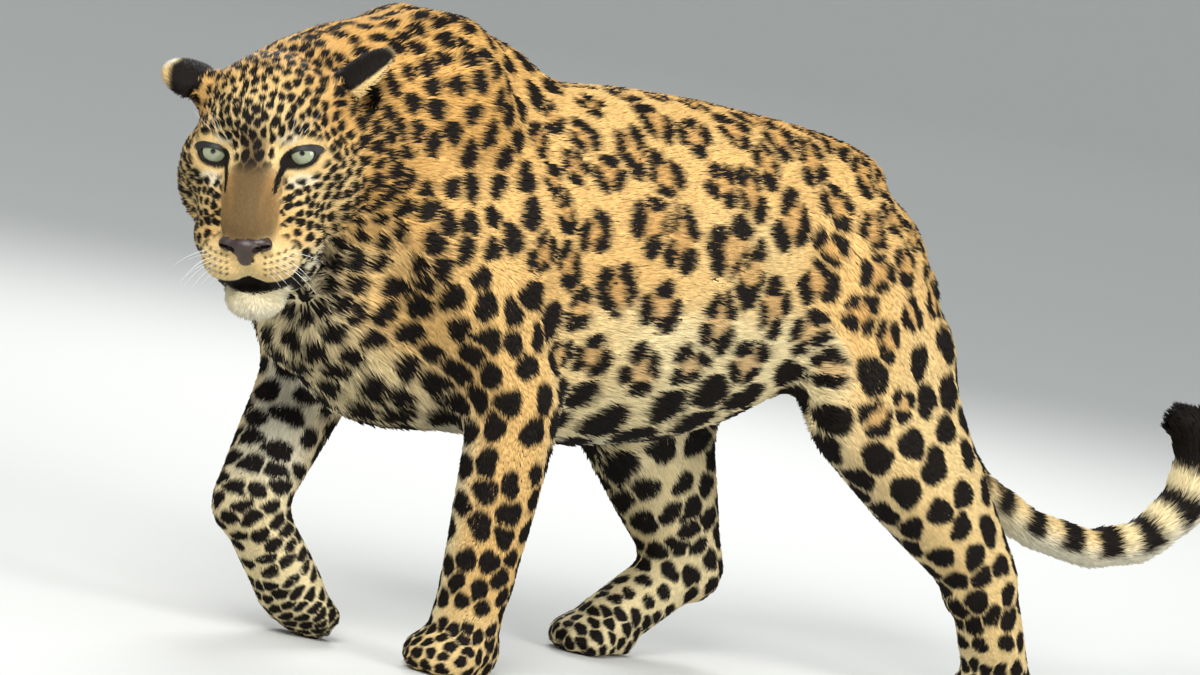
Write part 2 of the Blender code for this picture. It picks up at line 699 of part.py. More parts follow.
def part_head(head):
    """Parts the jaw, and makes the eyes, the nose leather and the ears."""
    place = head_matrix()
    bisected(head, Vector(NECK_END) + Vector(NECK_AXIS).normalized() * JOINT_GAP, NECK_AXIS)
    # Ears stand on flat stumps.
    for side, name in ((1, "ear_left"), (-1, "ear_right")):
        foot, up = ear(side, name)
        cut(head, box("stump", facing(foot, up), (0.070, 0.070, 0.060)))
    # Eyes, each in its socket behind an almond opening between the lids.
    for side, name in ((1, "eye_left"), (-1, "eye_right")):
        centre = (side * EYE_APART, EYE_BEHIND, 0.0)
        size = EYE_RADIUS + JOINT_GAP
        cut(head, helper(ball("socket", centre, (size, size, size), place)))
        slant = Matrix.Rotation(-side * LIDS_SLANT, 4, "Y")
        opening = place @ Matrix.Translation((side * (EYE_APART + 0.0005), 0.012, 0.0)) @ slant
        cut(head, helper(ball("opening", (0, 0, 0), LIDS_OPEN, opening)))
        ball(name, centre, (EYE_RADIUS, EYE_RADIUS, EYE_RADIUS), place)
    # Nose leather in a bed of its own shape, then its nostrils.
    nose = nose_leather()
    bed = bpy.data.objects.new("bed", nose.data.copy())
    bpy.context.scene.collection.objects.link(bed)
    normals = [vertex.normal.copy() for vertex in bed.data.vertices]
    for vertex, normal in zip(bed.data.vertices, normals):
        vertex.co += normal * JOINT_GAP * 1.6
    cut(head, helper(bed))
    for (across, ahead, high), size in NOSTRILS:
        for side in (1, -1):
            cut(nose, helper(ball("nostril", (side * across, ahead, high), size, place)))
    # Mouth, from one cheek to the other.
    bm = bmesh.new()
    near = [bm.verts.new(place @ Vector((MOUTH_HALF_WIDTH, ahead, high))) for ahead, high in MOUTH]
    far = [bm.verts.new(place @ Vector((-MOUTH_HALF_WIDTH, ahead, high))) for ahead, high in MOUTH]
    bm.faces.new(near)
    bm.faces.new(far[::-1])
    for step in range(len(MOUTH)):
        after = (step + 1) % len(MOUTH)
        bm.faces.new((near[step], far[step], far[after], near[after]))
    cut(head, helper(made("mouth", bm)))
    for piece in islands(head):
        middle = place.inverted() @ middle_of(piece)
        piece.name = "jaw" if middle.z < -0.12 else "head"


def colour(name, rgb, roughness):
    """A plain coat or skin colour."""
    material = bpy.data.materials.new(name)
    material.use_nodes = True
    shader = material.node_tree.nodes["Principled BSDF"]
    shader.inputs["Base Color"].default_value = (*rgb, 1.0)
    shader.inputs["Roughness"].default_value = roughness
    shader.inputs["Metallic"].default_value = 0.0
    return material


body = body_clay()
part_body(body)
head = head_clay()
part_head(head)

for name, (rgb, roughness, pieces) in COATS.items():
    material = colour(name, rgb, roughness)
    for piece in pieces:
        mesh = bpy.data.objects[piece].data
        mesh.materials.clear()
        mesh.materials.append(material)
        for face in mesh.polygons:
            face.use_smooth = True

# The floor's origin lies under the middle of the whole animal.
every = [obj for obj in bpy.context.scene.collection.objects if not obj.hide_render]
corners = [vertex.co for obj in every for vertex in obj.data.vertices]
middle_x = (min(point.x for point in corners) + max(point.x for point in corners)) / 2
middle_y = (min(point.y for point in corners) + max(point.y for point in corners)) / 2
lowest = min(point.z for point in corners)
for obj in every:
    obj.data.transform(Matrix.Translation((-middle_x, -middle_y, -lowest)))
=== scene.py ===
"""Looks of a life-size leopard in mid walk: skin, a coat of tufts, eyes, lids, nose leather and whiskers.

The animal faces -Y, its left side is +X, the floor is z = 0, and sizes are metres.
"""

import math

import bmesh
import bpy
import numpy as np
from mathutils import Matrix, Vector
from mathutils.kdtree import KDTree


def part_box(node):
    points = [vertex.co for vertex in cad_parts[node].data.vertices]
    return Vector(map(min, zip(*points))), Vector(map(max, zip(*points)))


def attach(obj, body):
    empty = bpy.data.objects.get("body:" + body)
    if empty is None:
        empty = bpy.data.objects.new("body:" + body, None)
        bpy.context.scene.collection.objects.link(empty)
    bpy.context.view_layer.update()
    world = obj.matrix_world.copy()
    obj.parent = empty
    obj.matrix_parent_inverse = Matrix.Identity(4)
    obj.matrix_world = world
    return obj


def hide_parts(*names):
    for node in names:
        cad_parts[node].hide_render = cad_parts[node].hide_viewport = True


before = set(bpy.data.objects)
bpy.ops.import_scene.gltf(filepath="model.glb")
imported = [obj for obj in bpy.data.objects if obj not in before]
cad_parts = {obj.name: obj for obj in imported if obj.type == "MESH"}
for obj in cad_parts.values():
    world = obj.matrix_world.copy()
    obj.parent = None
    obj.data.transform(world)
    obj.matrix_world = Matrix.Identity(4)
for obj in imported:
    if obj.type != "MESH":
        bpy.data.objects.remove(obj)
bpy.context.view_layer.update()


# Camera, at the photograph's angle: level with the chest, ahead of the left side,
# and leaning a little, as a hand-held long lens was.
CAMERA_AZIMUTH = math.radians(50.0)
CAMERA_RISE = math.radians(4.5)
CAMERA_LEAN = math.radians(10.3)
CAMERA_AWAY = 5.6
LOOKED_AT = Vector((-0.007, -0.130, 0.330))
PHOTO_WIDTH = 1200
PHOTO_HEIGHT = 675
LOOKED_AT_PIXEL = (640, 378)
PIXELS_PER_METRE = 890
SENSOR = 36.0
SEES_TO = 200.0


def placed(name, data):
    """A new object of this camera, light or mesh, in the scene."""
    made = bpy.data.objects.new(name, data)
    bpy.context.scene.collection.objects.link(made)
    return made


back = Vector((
    math.sin(CAMERA_AZIMUTH) * math.cos(CAMERA_RISE),
    -math.cos(CAMERA_AZIMUTH) * math.cos(CAMERA_RISE),
    math.sin(CAMERA_RISE),
))
level_right = Vector((math.cos(CAMERA_AZIMUTH), math.sin(CAMERA_AZIMUTH), 0.0))
level_up = back.cross(level_right)
right = level_right * math.cos(CAMERA_LEAN) + level_up * math.sin(CAMERA_LEAN)
up = level_up * math.cos(CAMERA_LEAN) - level_right * math.sin(CAMERA_LEAN)
camera_data = bpy.data.cameras.new("camera")
camera_data.sensor_width = SENSOR
camera_data.lens = SENSOR * PIXELS_PER_METRE * CAMERA_AWAY / PHOTO_WIDTH
camera_data.shift_x = -(LOOKED_AT_PIXEL[0] - PHOTO_WIDTH / 2) / PHOTO_WIDTH
camera_data.shift_y = (LOOKED_AT_PIXEL[1] - PHOTO_HEIGHT / 2) / PHOTO_WIDTH
camera_data.clip_end = SEES_TO
camera = placed("camera", camera_data)
camera_turn = Matrix((right, up, back)).transposed().to_4x4()
camera.matrix_world = Matrix.Translation(LOOKED_AT + back * CAMERA_AWAY) @ camera_turn
bpy.context.scene.camera = camera


# Floor and light of a plain studio: a pale round floor that sweeps up into a wall, so
# that no edge shows behind the animal, pale air, and three soft panels.
FLAT_RADIUS = 40.0
SWEEP = 20.0
SIDES = 96
STEPS = 24
FLOOR_GREY = (0.62, 0.62, 0.60)
AIR = (0.80, 0.84, 0.86)


def plain_material(name, colour, roughness):
    """A material of one colour."""
    made = bpy.data.materials.new(name)
    made.use_nodes = True
    shader = made.node_tree.nodes["Principled BSDF"]
    shader.inputs["Base Color"].default_value = (*colour, 1.0)
    shader.inputs["Roughness"].default_value = roughness
    return made


def banded(bm, rings):
    """Joins each ring of points to the next by a band of faces."""
    for lower, upper in zip(rings, rings[1:]):
        for side in range(len(lower)):
            beyond = (side + 1) % len(lower)
            bm.faces.new((lower[side], lower[beyond], upper[beyond], upper[side]))


floor_mesh = bpy.data.meshes.new("floor")
bm = bmesh.new()
rings = []
for step in range(STEPS + 1):
    turn = math.pi / 2 * step / STEPS
    out = FLAT_RADIUS + SWEEP * math.sin(turn)
    up_wall = SWEEP * (1 - math.cos(turn))
    ring = []
    for side in range(SIDES):
        angle = 2 * math.pi * side / SIDES
        ring.append(bm.verts.new((out * math.cos(angle), out * math.sin(angle), up_wall)))
    rings.append(ring)
bm.faces.new(rings[0])
banded(bm, rings[::-1])
bm.to_mesh(floor_mesh)
bm.free()
floor_mesh.shade_smooth()
floor = placed("floor", floor_mesh)
floor.data.materials.append(plain_material("studio floor", FLOOR_GREY, 0.9))

world = bpy.data.worlds.new("studio air")
world.use_nodes = True
air = world.node_tree.nodes["Background"]
air.inputs["Color"].default_value = (*AIR, 1.0)
air.inputs["Strength"].default_value = 0.78
bpy.context.scene.world = world
bpy.context.scene.view_settings.view_transform = "Standard"
bpy.context.scene.view_settings.exposure = -0.05

# Name, place, size and watts of each panel. All of them face the animal.
PANELS = (
    ("key", (2.6, -3.4, 3.4), 2.4, 250.0),
    ("fill", (4.2, 1.2, 1.8), 2.6, 130.0),
    ("rim", (-2.8, 2.0, 3.0), 2.0, 110.0),
)
for name, place, size, watts in PANELS:
    light = bpy.data.lights.new(name, "AREA")
    light.shape = "DISK"
    light.size = size
    light.energy = watts
    panel = placed(name, light)
    panel.location = place
    panel.rotation_euler = (Vector(place) - LOOKED_AT).to_track_quat("Z", "Y").to_euler()


# Where the head is: a frame about the point between the eyes, worked out from the
# eyes and the nose. Its x runs to the animal's left, y forward and z up.
def middle(name):
    low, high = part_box(name)
    return (low + high) / 2


eye_left = middle("eye_left")
eye_right = middle("eye_right")
between = (eye_left + eye_right) / 2
leftward = (eye_left - eye_right).normalized()
EYE_BEHIND = 0.004
NOSE_AHEAD = 0.0838
NOSE_BELOW = 0.0806
to_nose = middle("nose") - between
to_nose -= leftward * to_nose.dot(leftward)
nose_angle = math.atan2(NOSE_BELOW, NOSE_AHEAD + EYE_BEHIND)
side_axis = leftward.cross(to_nose).normalized()
if side_axis.z < 0:
    side_axis = -side_axis
forward = (to_nose.normalized() * math.cos(nose_angle) + side_axis * math.sin(nose_angle)).normalized()
upward = (side_axis * math.cos(nose_angle) - to_nose.normalized() * math.sin(nose_angle)).normalized()
head = Matrix((leftward, forward, upward)).transposed().to_4x4()
head.translation = between + forward * EYE_BEHIND


# The flesh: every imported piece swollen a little, until neighbours meet, and then the
# whole taken as one closed surface of small square cells.
BARE = {"nose", "eye_left", "eye_right"}
SWELL = 0.0004
SKIN_GRAIN = 0.0023
SAME_POINT = 1e-6


def settled(obj):
    """Gives the object the mesh that its modifiers make, and takes them off."""
    graph = bpy.context.evaluated_depsgraph_get()
    graph.update()
    mesh = bpy.data.meshes.new_from_object(obj.evaluated_get(graph))
    obj.modifiers.clear()
    obj.data = mesh
    return obj


def points_of(mesh):
    """Where the mesh's vertices are, one row each."""
    spots = np.empty(len(mesh.vertices) * 3, np.float32)
    mesh.vertices.foreach_get("co", spots)
    return spots.reshape(-1, 3).astype(np.float64)


def normals_of(mesh):
    """Which way the mesh's vertices face, one row each."""
    facing = np.empty(len(mesh.vertices) * 3, np.float32)
    mesh.vertex_normals.foreach_get("vector", facing)
    return facing.reshape(-1, 3).astype(np.float64)


def moved(mesh, spots):
    """Puts the mesh's vertices at these places."""
    mesh.vertices.foreach_set("co", spots.astype(np.float32).ravel())
    mesh.update()


bm = bmesh.new()
for name in sorted(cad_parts):
    part = bmesh.new()
    part.from_mesh(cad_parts[name].data)
    bmesh.ops.remove_doubles(part, verts=part.verts, dist=SAME_POINT)
    part.normal_update()
    for vertex in part.verts:
        vertex.co += vertex.normal * SWELL
    swollen = bpy.data.meshes.new("swollen")
    part.to_mesh(swollen)
    part.free()
    bm.from_mesh(swollen)
    bpy.data.meshes.remove(swollen)
flesh = bpy.data.meshes.new("skin")
bm.to_mesh(flesh)
bm.free()
skin = placed("skin", flesh)
join = skin.modifiers.new("join", "REMESH")
join.mode = "VOXEL"
join.voxel_size = SKIN_GRAIN
settled(skin)


# Lie of the coat, set along streams that follow the hair from nose to tail: its way and
# length, the ground's colour, and the spots' spacing and openness. Every place on the
# skin takes its values from the stretches of stream nearest to it.
GOLD = (0.64, 0.360, 0.105)
TAN = (0.71, 0.450, 0.165)
SAND = (0.75, 0.545, 0.245)
CREAM = (0.80, 0.665, 0.375)
# WHITE is the pale fur's own colour dimmed a little, as painted shade for the chin under the head; every
# white place takes the same dimming.
WHITE = (0.72, 0.670, 0.510)
OLIVE = (0.140, 0.086, 0.034)
TAWNY = (0.47, 0.235, 0.065)
BLACK = (0.007, 0.0045, 0.003)

HEAD_STRETCH = 0.012
BODY_STRETCH = 0.03
FALL_OFF = 2.5
ROWS_AT_ONCE = 20000

head_out = np.array(head)
head_in = np.linalg.inv(head_out)
stream_places = []
stream_lies = []
stream_values = []


def stream(rows, mirrored=False, on_head=False, stretch=1.0):
    """Rows of (x, y, z, hair, ground, spots apart, openness), in mm, from a stream's root to its end."""
    for side in (1, -1) if mirrored else (1,):
        places = []
        row_values = []
        for x, y, z, hair_length, ground, apart, openness in rows:
            place = np.array((side * x, y, z)) / 1000
            if on_head:
                place = head_out[:3, :3] @ place + head_out[:3, 3]
            places.append(place)
            row_values.append(np.array((hair_length, *ground, apart, openness, stretch)))
        for index in range(len(rows) - 1):
            start, run = places[index], places[index + 1] - places[index]
            first, change = row_values[index], row_values[index + 1] - row_values[index]
            length = np.linalg.norm(run)
            count = max(1, int(round(length / (HEAD_STRETCH if on_head else BODY_STRETCH))))
            for step in range(count):
                part = (step + 0.5) / count
                stream_places.append(start + run * part)
                stream_lies.append(run / length)
                stream_values.append(first + change * part)


# Head, about the eyes: bridge and brow to nape, brow to ear, cheeks, pads, chin.
stream(((0, 84, -58, 3, OLIVE, 30, 0), (0, 50, -30, 3.5, OLIVE, 30, 0), (0, 20, 4, 4.5, OLIVE, 12, 0),
        (0, 2, 40, 6, SAND, 12, 0), (0, -35, 75, 8, TAN, 14, 0), (0, -90, 92, 9, GOLD, 17, 0)),
       on_head=True, stretch=1.6)
stream(((24, 30, -2, 4, SAND, 11, 0), (34, 12, 34, 6, SAND, 12, 0), (45, -30, 66, 8, TAN, 15, 0),
        (50, -80, 70, 9, GOLD, 17, 0)), mirrored=True, on_head=True, stretch=1.6)
stream(((58, 10, 6, 5, SAND, 12, 0), (72, -20, 22, 7, TAN, 14, 0), (80, -55, 30, 9, GOLD, 16, 0)),
       mirrored=True, on_head=True, stretch=1.3)
stream(((28, 58, -52, 4, TAN, 11, 0), (48, 20, -48, 5, SAND, 10, 0), (76, -25, -40, 9, SAND, 15, 0),
        (95, -70, -40, 13, GOLD, 20, 0), (95, -120, -45, 15, GOLD, 24, 0)),
       mirrored=True, on_head=True, stretch=1.4)
stream(((36, 45, -75, 4.5, TAN, 11, 0), (62, 5, -78, 8, SAND, 14, 0), (84, -45, -86, 14, TAN, 19, 0),
        (90, -90, -100, 17, TAN, 24, 0)), mirrored=True, on_head=True, stretch=1.4)
stream(((12, 88, -92, 3.5, SAND, 40, 0), (34, 72, -100, 4.5, SAND, 40, 0),
        (52, 36, -104, 6, CREAM, 14, 0), (62, 0, -112, 9, WHITE, 16, 0),
        (72, -50, -126, 15, WHITE, 22, 0)), mirrored=True, on_head=True, stretch=1.4)
stream(((0, 80, -122, 6, CREAM, 40, 0), (0, 66, -156, 9, WHITE, 40, 0), (0, 0, -160, 14, WHITE, 26, 0),
        (0, -60, -150, 17, CREAM, 26, 0)), on_head=True, stretch=1.3)
stream(((26, 60, -120, 6, CREAM, 30, 0), (34, 36, -150, 9, WHITE, 30, 0),
        (44, -5, -146, 10, CREAM, 22, 0), (56, -60, -138, 16, WHITE, 24, 0)),
       mirrored=True, on_head=True, stretch=1.3)

# Neck and trunk, from nape to rump, flank and belly.
stream(((20, -660, 650, 11, GOLD, 21, 0), (0, -560, 690, 13, GOLD, 26, 0),
        (0, -420, 690, 13, GOLD, 32, 0), (0, -300, 655, 13, TAN, 42, 0.9), (0, 0, 650, 13, GOLD, 46, 0.9),
        (0, 120, 615, 13, GOLD, 46, 0.7), (0, 190, 560, 14, GOLD, 42, 0.3)), stretch=1.25)
stream(((100, -680, 590, 13, GOLD, 24, 0), (100, -590, 610, 13, GOLD, 26, 0),
        (105, -480, 610, 13, GOLD, 30, 0), (110, -370, 590, 13, TAN, 44, 0.7),
        (115, -200, 600, 13, TAN, 58, 1), (115, 0, 600, 13, TAN, 60, 1), (95, 110, 570, 13, TAN, 50, 0.9),
        (60, 190, 520, 12, TAN, 46, 0.6)), mirrored=True, stretch=0.8)
stream(((110, -700, 500, 15, GOLD, 26, 0), (115, -610, 500, 14, GOLD, 28, 0),
        (130, -500, 490, 12, TAN, 31, 0), (135, -390, 470, 12, TAN, 44, 0.6),
        (145, -250, 480, 13, TAN, 66, 1), (150, -100, 480, 13, SAND, 70, 1),
        (135, 30, 490, 13, TAN, 60, 1)), mirrored=True, stretch=0.75)
stream(((130, -340, 360, 13, SAND, 48, 0.6), (145, -220, 360, 14, CREAM, 64, 0.8),
        (145, -80, 360, 15, CREAM, 64, 0.7), (125, 20, 390, 15, CREAM, 54, 0.4)),
       mirrored=True, stretch=0.9)
stream(((90, -360, 280, 18, CREAM, 50, 0), (100, -220, 275, 20, CREAM, 60, 0),
        (95, -80, 280, 19, CREAM, 60, 0), (80, 20, 320, 13, CREAM, 50, 0)), mirrored=True, stretch=1.3)
stream(((0, -600, 430, 20, CREAM, 34, 0), (0, -580, 350, 21, CREAM, 38, 0),
        (0, -500, 290, 22, CREAM, 44, 0), (0, -380, 255, 22, WHITE, 56, 0),
        (0, -200, 248, 23, WHITE, 64, 0), (0, -60, 262, 19, WHITE, 64, 0), (0, 60, 330, 13, WHITE, 60, 0),
        (0, 150, 420, 12, WHITE, 50, 0)), stretch=1.3)
stream(((90, -690, 430, 18, CREAM, 28, 0), (80, -640, 420, 18, SAND, 30, 0),
        (100, -580, 400, 14, TAN, 32, 0), (110, -520, 370, 13, TAN, 34, 0)), mirrored=True, stretch=0.9)

# Fore legs: the outside and the inside of the left one, then of the right one, folded in
# its swing.
stream(((120, -480, 430, 11, TAN, 32, 0), (145, -400, 300, 9, TAN, 36, 0),
        (140, -400, 200, 8, TAN, 32, 0), (138, -400, 105, 7, TAN, 26, 0), (125, -420, 45, 5, SAND, 18, 0),
        (105, -455, 20, 4, SAND, 15, 0)), stretch=1.2)
stream(((60, -400, 260, 10, WHITE, 40, 0), (60, -400, 180, 8, CREAM, 36, 0),
        (62, -405, 90, 7, CREAM, 28, 0), (68, -430, 35, 4, CREAM, 20, 0)), stretch=0.8)
stream(((-125, -560, 430, 11, TAN, 32, 0), (-160, -500, 300, 9, SAND, 34, 0),
        (-130, -560, 200, 8, SAND, 30, 0), (-115, -600, 140, 7, CREAM, 24, 0),
        (-105, -560, 80, 4, CREAM, 20, 0), (-90, -490, 25, 4, CREAM, 16, 0)), stretch=1.0)
stream(((-80, -560, 300, 10, WHITE, 34, 0), (-60, -590, 210, 8, WHITE, 32, 0),
        (-45, -615, 150, 7, CREAM, 24, 0), (-40, -560, 75, 4, CREAM, 20, 0),
        (-45, -490, 30, 4, CREAM, 16, 0)), stretch=0.55)

# Hind legs: outside, back and inside of the left one, stretched back, and then outside,
# inside and back of the right one, under the belly.
stream(((100, 0, 530, 12, TAN, 54, 0.9), (140, 60, 430, 11, TAN, 52, 0.8),
        (150, 120, 340, 10, SAND, 48, 0.3), (145, 200, 260, 9, SAND, 42, 0),
        (150, 320, 160, 8, SAND, 34, 0), (150, 370, 80, 7, SAND, 26, 0), (130, 340, 30, 4, CREAM, 17, 0)),
       stretch=1.15)
stream(((70, 170, 480, 12, TAN, 50, 0.6), (100, 210, 380, 11, SAND, 46, 0.2),
        (110, 280, 280, 9, SAND, 40, 0), (115, 370, 170, 8, SAND, 32, 0)), stretch=1.15)
stream(((50, 100, 360, 12, WHITE, 44, 0), (70, 160, 280, 10, WHITE, 40, 0),
        (85, 280, 190, 8, CREAM, 34, 0), (85, 360, 90, 7, CREAM, 26, 0), (85, 330, 30, 4, CREAM, 18, 0)),
       stretch=0.9)
stream(((-110, 0, 530, 12, TAN, 54, 0.9), (-150, -10, 420, 11, TAN, 50, 0.7),
        (-155, 0, 320, 10, SAND, 46, 0.2), (-140, 40, 200, 8, SAND, 38, 0),
        (-130, 65, 110, 7, SAND, 28, 0), (-125, 0, 55, 6, CREAM, 22, 0),
        (-110, -80, 25, 4, CREAM, 16, 0)), stretch=1.1)
stream(((-60, -40, 330, 12, WHITE, 44, 0), (-65, -10, 240, 9, CREAM, 40, 0),
        (-60, 50, 130, 7, CREAM, 30, 0), (-58, 0, 55, 6, CREAM, 22, 0), (-65, -80, 25, 4, CREAM, 17, 0)),
       stretch=0.7)
stream(((-80, 170, 480, 12, TAN, 50, 0.6), (-105, 140, 360, 11, SAND, 46, 0.2),
        (-100, 120, 240, 9, SAND, 40, 0), (-95, 110, 140, 8, CREAM, 32, 0)), stretch=1.1)

# Tail, above and below.
stream(((-7, 190, 545, 13, GOLD, 36, 0), (-12, 285, 480, 13, TAN, 34, 0), (-18, 330, 390, 13, TAN, 34, 0),
        (-25, 400, 300, 14, TAN, 34, 0), (-27, 470, 250, 15, SAND, 36, 0),
        (-27, 560, 220, 16, SAND, 38, 0), (-23, 640, 208, 17, SAND, 40, 0),
        (-17, 700, 220, 18, CREAM, 40, 0), (-13, 745, 250, 19, CREAM, 40, 0),
        (-11, 760, 300, 19, CREAM, 40, 0), (-11, 750, 340, 18, WHITE, 40, 0),
        (-11, 715, 352, 18, WHITE, 40, 0)), stretch=0.7)
stream(((-15, 240, 440, 13, CREAM, 34, 0), (-24, 320, 300, 14, CREAM, 36, 0),
        (-27, 420, 225, 15, CREAM, 38, 0), (-27, 530, 175, 16, WHITE, 40, 0),
        (-23, 640, 156, 17, WHITE, 40, 0), (-17, 735, 172, 18, WHITE, 40, 0),
        (-13, 800, 225, 19, WHITE, 40, 0), (-11, 825, 300, 19, WHITE, 40, 0),
        (-11, 790, 365, 19, WHITE, 40, 0), (-11, 740, 385, 19, WHITE, 40, 0)), stretch=0.7)

stream_places = np.array(stream_places)
stream_lies = np.array(stream_lies)
stream_values = np.array(stream_values)


def coat_at(spots, facing):
    """The lie, laid flat on the skin, and the streams' values at each place."""
    lies = np.empty_like(spots)
    values = np.empty((len(spots), stream_values.shape[1]))
    for start in range(0, len(spots), ROWS_AT_ONCE):
        some = slice(start, start + ROWS_AT_ONCE)
        away = ((spots[some, None, :] - stream_places[None]) ** 2).sum(2) + 1e-6
        weight = away ** -FALL_OFF
        weight /= weight.sum(1, keepdims=True)
        values[some] = weight @ stream_values
        lies[some] = weight @ stream_lies
    lies -= facing * (lies * facing).sum(1, keepdims=True)
    lies /= np.linalg.norm(lies, axis=1, keepdims=True) + 1e-9
    return lies, values


# Skin under the coat: the flesh smoothed, least at the toes, thinned away from the head,
# and drawn in by part of the hair's length, so that the coat comes back to the outline.
HEAD_BALL = np.array((0.0, -0.02, -0.05))
HEAD_REACH = 0.17
FACE_REACH = 0.16
THINNED_TO = 0.22
TOES_BELOW = 0.058
TOES_SMOOTHED = 0.15
SMOOTHINGS = 14
COAT_RISE = 0.40
DEEPEST = 0.009
UNDER_BARE = 0.0026


def about_head(spots):
    """The places measured from the middle of the eyes, as x to the left, y forward and z up."""
    return spots @ head_in[:3, :3].T + head_in[:3, 3]


heights = points_of(skin.data)[:, 2]
far = np.linalg.norm(about_head(points_of(skin.data)) - HEAD_BALL, axis=1) > HEAD_REACH
plain = skin.vertex_groups.new(name="plain")
plain.add([int(index) for index in np.nonzero(far & (heights > TOES_BELOW))[0]], 1.0, "REPLACE")
legs_up = skin.vertex_groups.new(name="above the toes")
legs_up.add([int(index) for index in np.nonzero(heights > TOES_BELOW)[0]], 1.0, "REPLACE")
legs_up.add([int(index) for index in np.nonzero(heights <= TOES_BELOW)[0]], TOES_SMOOTHED, "REPLACE")
soften = skin.modifiers.new("soften", "SMOOTH")
soften.factor = 0.5
soften.iterations = SMOOTHINGS
soften.vertex_group = legs_up.name
thin = skin.modifiers.new("thin", "DECIMATE")
thin.ratio = THINNED_TO
thin.vertex_group = plain.name
thin.use_collapse_triangulate = True
settled(skin)
skin.vertex_groups.clear()
places = points_of(skin.data)
facing = normals_of(skin.data)
lies, values = coat_at(places, facing)
depth = np.minimum(values[:, 0] * 0.001 * COAT_RISE, DEEPEST)
moved(skin.data, places - facing * depth[:, None])


# Spots: black on the tawny ground. On the flank and rump each is a broken ring round a
# deeper centre, and elsewhere a solid blotch. Seeds are thrown no nearer to each other
# than the streams say, then each moves to the middle of the skin that it holds.
SPOT_SEED = 11
CROWDING = 0.80
SETTLING = 3
NEAREST = 4
# Sizes in parts of a spot's spacing. An edge is where a mark has faded out and where it is full.
BLOTCH_EDGE = (0.500, 0.450)
RING_AT = 0.345
RING_THIN = 0.105
RING_THICKER = 0.062
RING_SOFT = 0.020
CENTRE_EDGE = (0.40, 0.26)
OPEN_FROM = 0.32
PARTING = (0.030, 0.090)
# Lobes round a spot, and how far each set of them stands out.
RIPPLES = ((2, 0.11), (3, 0.08), (5, 0.04))


def tree_of(spots):
    """A search tree that finds the nearest of these places, by number."""
    made = KDTree(len(spots))
    for number, spot in enumerate(spots):
        made.insert(spot, number)
    made.balance()
    return made


chance = np.random.default_rng(SPOT_SEED)
spacing = values[:, 4] * 0.001
squash = np.sqrt(values[:, 6])
tree = tree_of(places)
free = np.ones(len(places), bool)
sites = []
for index in chance.permutation(len(places)):
    if not free[index]:
        continue
    sites.append(index)
    reach = spacing[index] * CROWDING
    near = np.array([found[1] for found in tree.find_range(places[index], reach * 1.5)])
    apart = places[near] - places[index]
    along = apart @ lies[index]
    beside = np.sqrt(np.maximum((apart ** 2).sum(1) - along ** 2, 0.0))
    held = np.hypot(along / squash[index], beside * squash[index]) < reach
    free[near[held]] = False
sites = np.array(sites)
for turn in range(SETTLING):
    site_tree = tree_of(places[sites])
    holder = np.array([site_tree.find(place)[1] for place in places])
    total = np.maximum(np.bincount(holder, minlength=len(sites)), 1)
    sums = [np.bincount(holder, places[:, axis], len(sites)) for axis in range(3)]
    middles = np.stack([row / total for row in sums], 1)
    sites = np.array([tree.find(spot)[1] for spot in middles])
sites = np.unique(sites)
spot_place = places[sites]
spot_facing = facing[sites]
spot_along = lies[sites]
spot_beside = np.cross(spot_facing, spot_along)
spot_apart = spacing[sites] * chance.uniform(0.88, 1.12, len(sites))
spot_open = np.clip(values[sites, 5] * 1.25 - chance.uniform(0.0, 0.45, len(sites)), 0.0, 1.0)
spot_squash = np.sqrt(values[sites, 6])
spot_waves = chance.uniform(0.0, 2 * math.pi, (len(sites), 4))
spot_breaks = chance.integers(2, 5, len(sites))
spot_tree = tree_of(spot_place)


def smooth(low, high, value):
    """0 at low, 1 at high, and an eased slope between them."""
    part = np.clip((value - low) / (high - low), 0.0, 1.0)
    return part * part * (3 - 2 * part)


def spots_at(spots, facing):
    """How black, and how deep a centre, the nearest few spots make each place."""
    near = np.array([[found[1] for found in spot_tree.find_n(spot, NEAREST)] for spot in spots])
    outs = np.empty(near.shape)
    blacks = np.empty(near.shape)
    deeps = np.empty(near.shape)
    for rank in range(NEAREST):
        number = near[:, rank]
        apart = spots - spot_place[number]
        away_facing = (facing * spot_facing[number]).sum(1) < 0.0
        along = (apart * spot_along[number]).sum(1) / spot_squash[number] / spot_apart[number]
        beside = (apart * spot_beside[number]).sum(1) * spot_squash[number] / spot_apart[number]
        rise = (apart * spot_facing[number]).sum(1) / spot_apart[number]
        turn = np.arctan2(beside, along)
        wave = spot_waves[number]
        ripple = 0.0
        for column, (lobes, height) in enumerate(RIPPLES):
            ripple = ripple + height * np.sin(lobes * turn + wave[:, column])
        out = np.sqrt(along ** 2 + beside ** 2 + 0.7 * rise ** 2) / (1 + ripple)
        out = np.where(away_facing, out + 1.0, out)
        blotch = smooth(*BLOTCH_EDGE, out)
        bar = 0.5 + 0.5 * np.sin(spot_breaks[number] * turn + wave[:, 3] + 0.7 * np.sin(turn + wave[:, 1]))
        thick = RING_THIN + RING_THICKER * smooth(0.05, 0.55, bar)
        ring = smooth(thick + RING_SOFT, thick - RING_SOFT, np.abs(out - RING_AT))
        opened = spot_open[number] > OPEN_FROM
        outs[:, rank] = out
        blacks[:, rank] = np.where(opened, ring * smooth(0.015, 0.070, bar), blotch)
        deeps[:, rank] = smooth(*CENTRE_EDGE, out) * opened
    # The nearest spot wins, and a strip of ground stays between it and the next.
    order = np.argsort(outs, axis=1)
    row = np.arange(len(spots))
    parting = smooth(*PARTING, outs[row, order[:, 1]] - outs[row, order[:, 0]])
    black = blacks[row, order[:, 0]] * parting
    deep = deeps[row, order[:, 0]]
    return black, deep


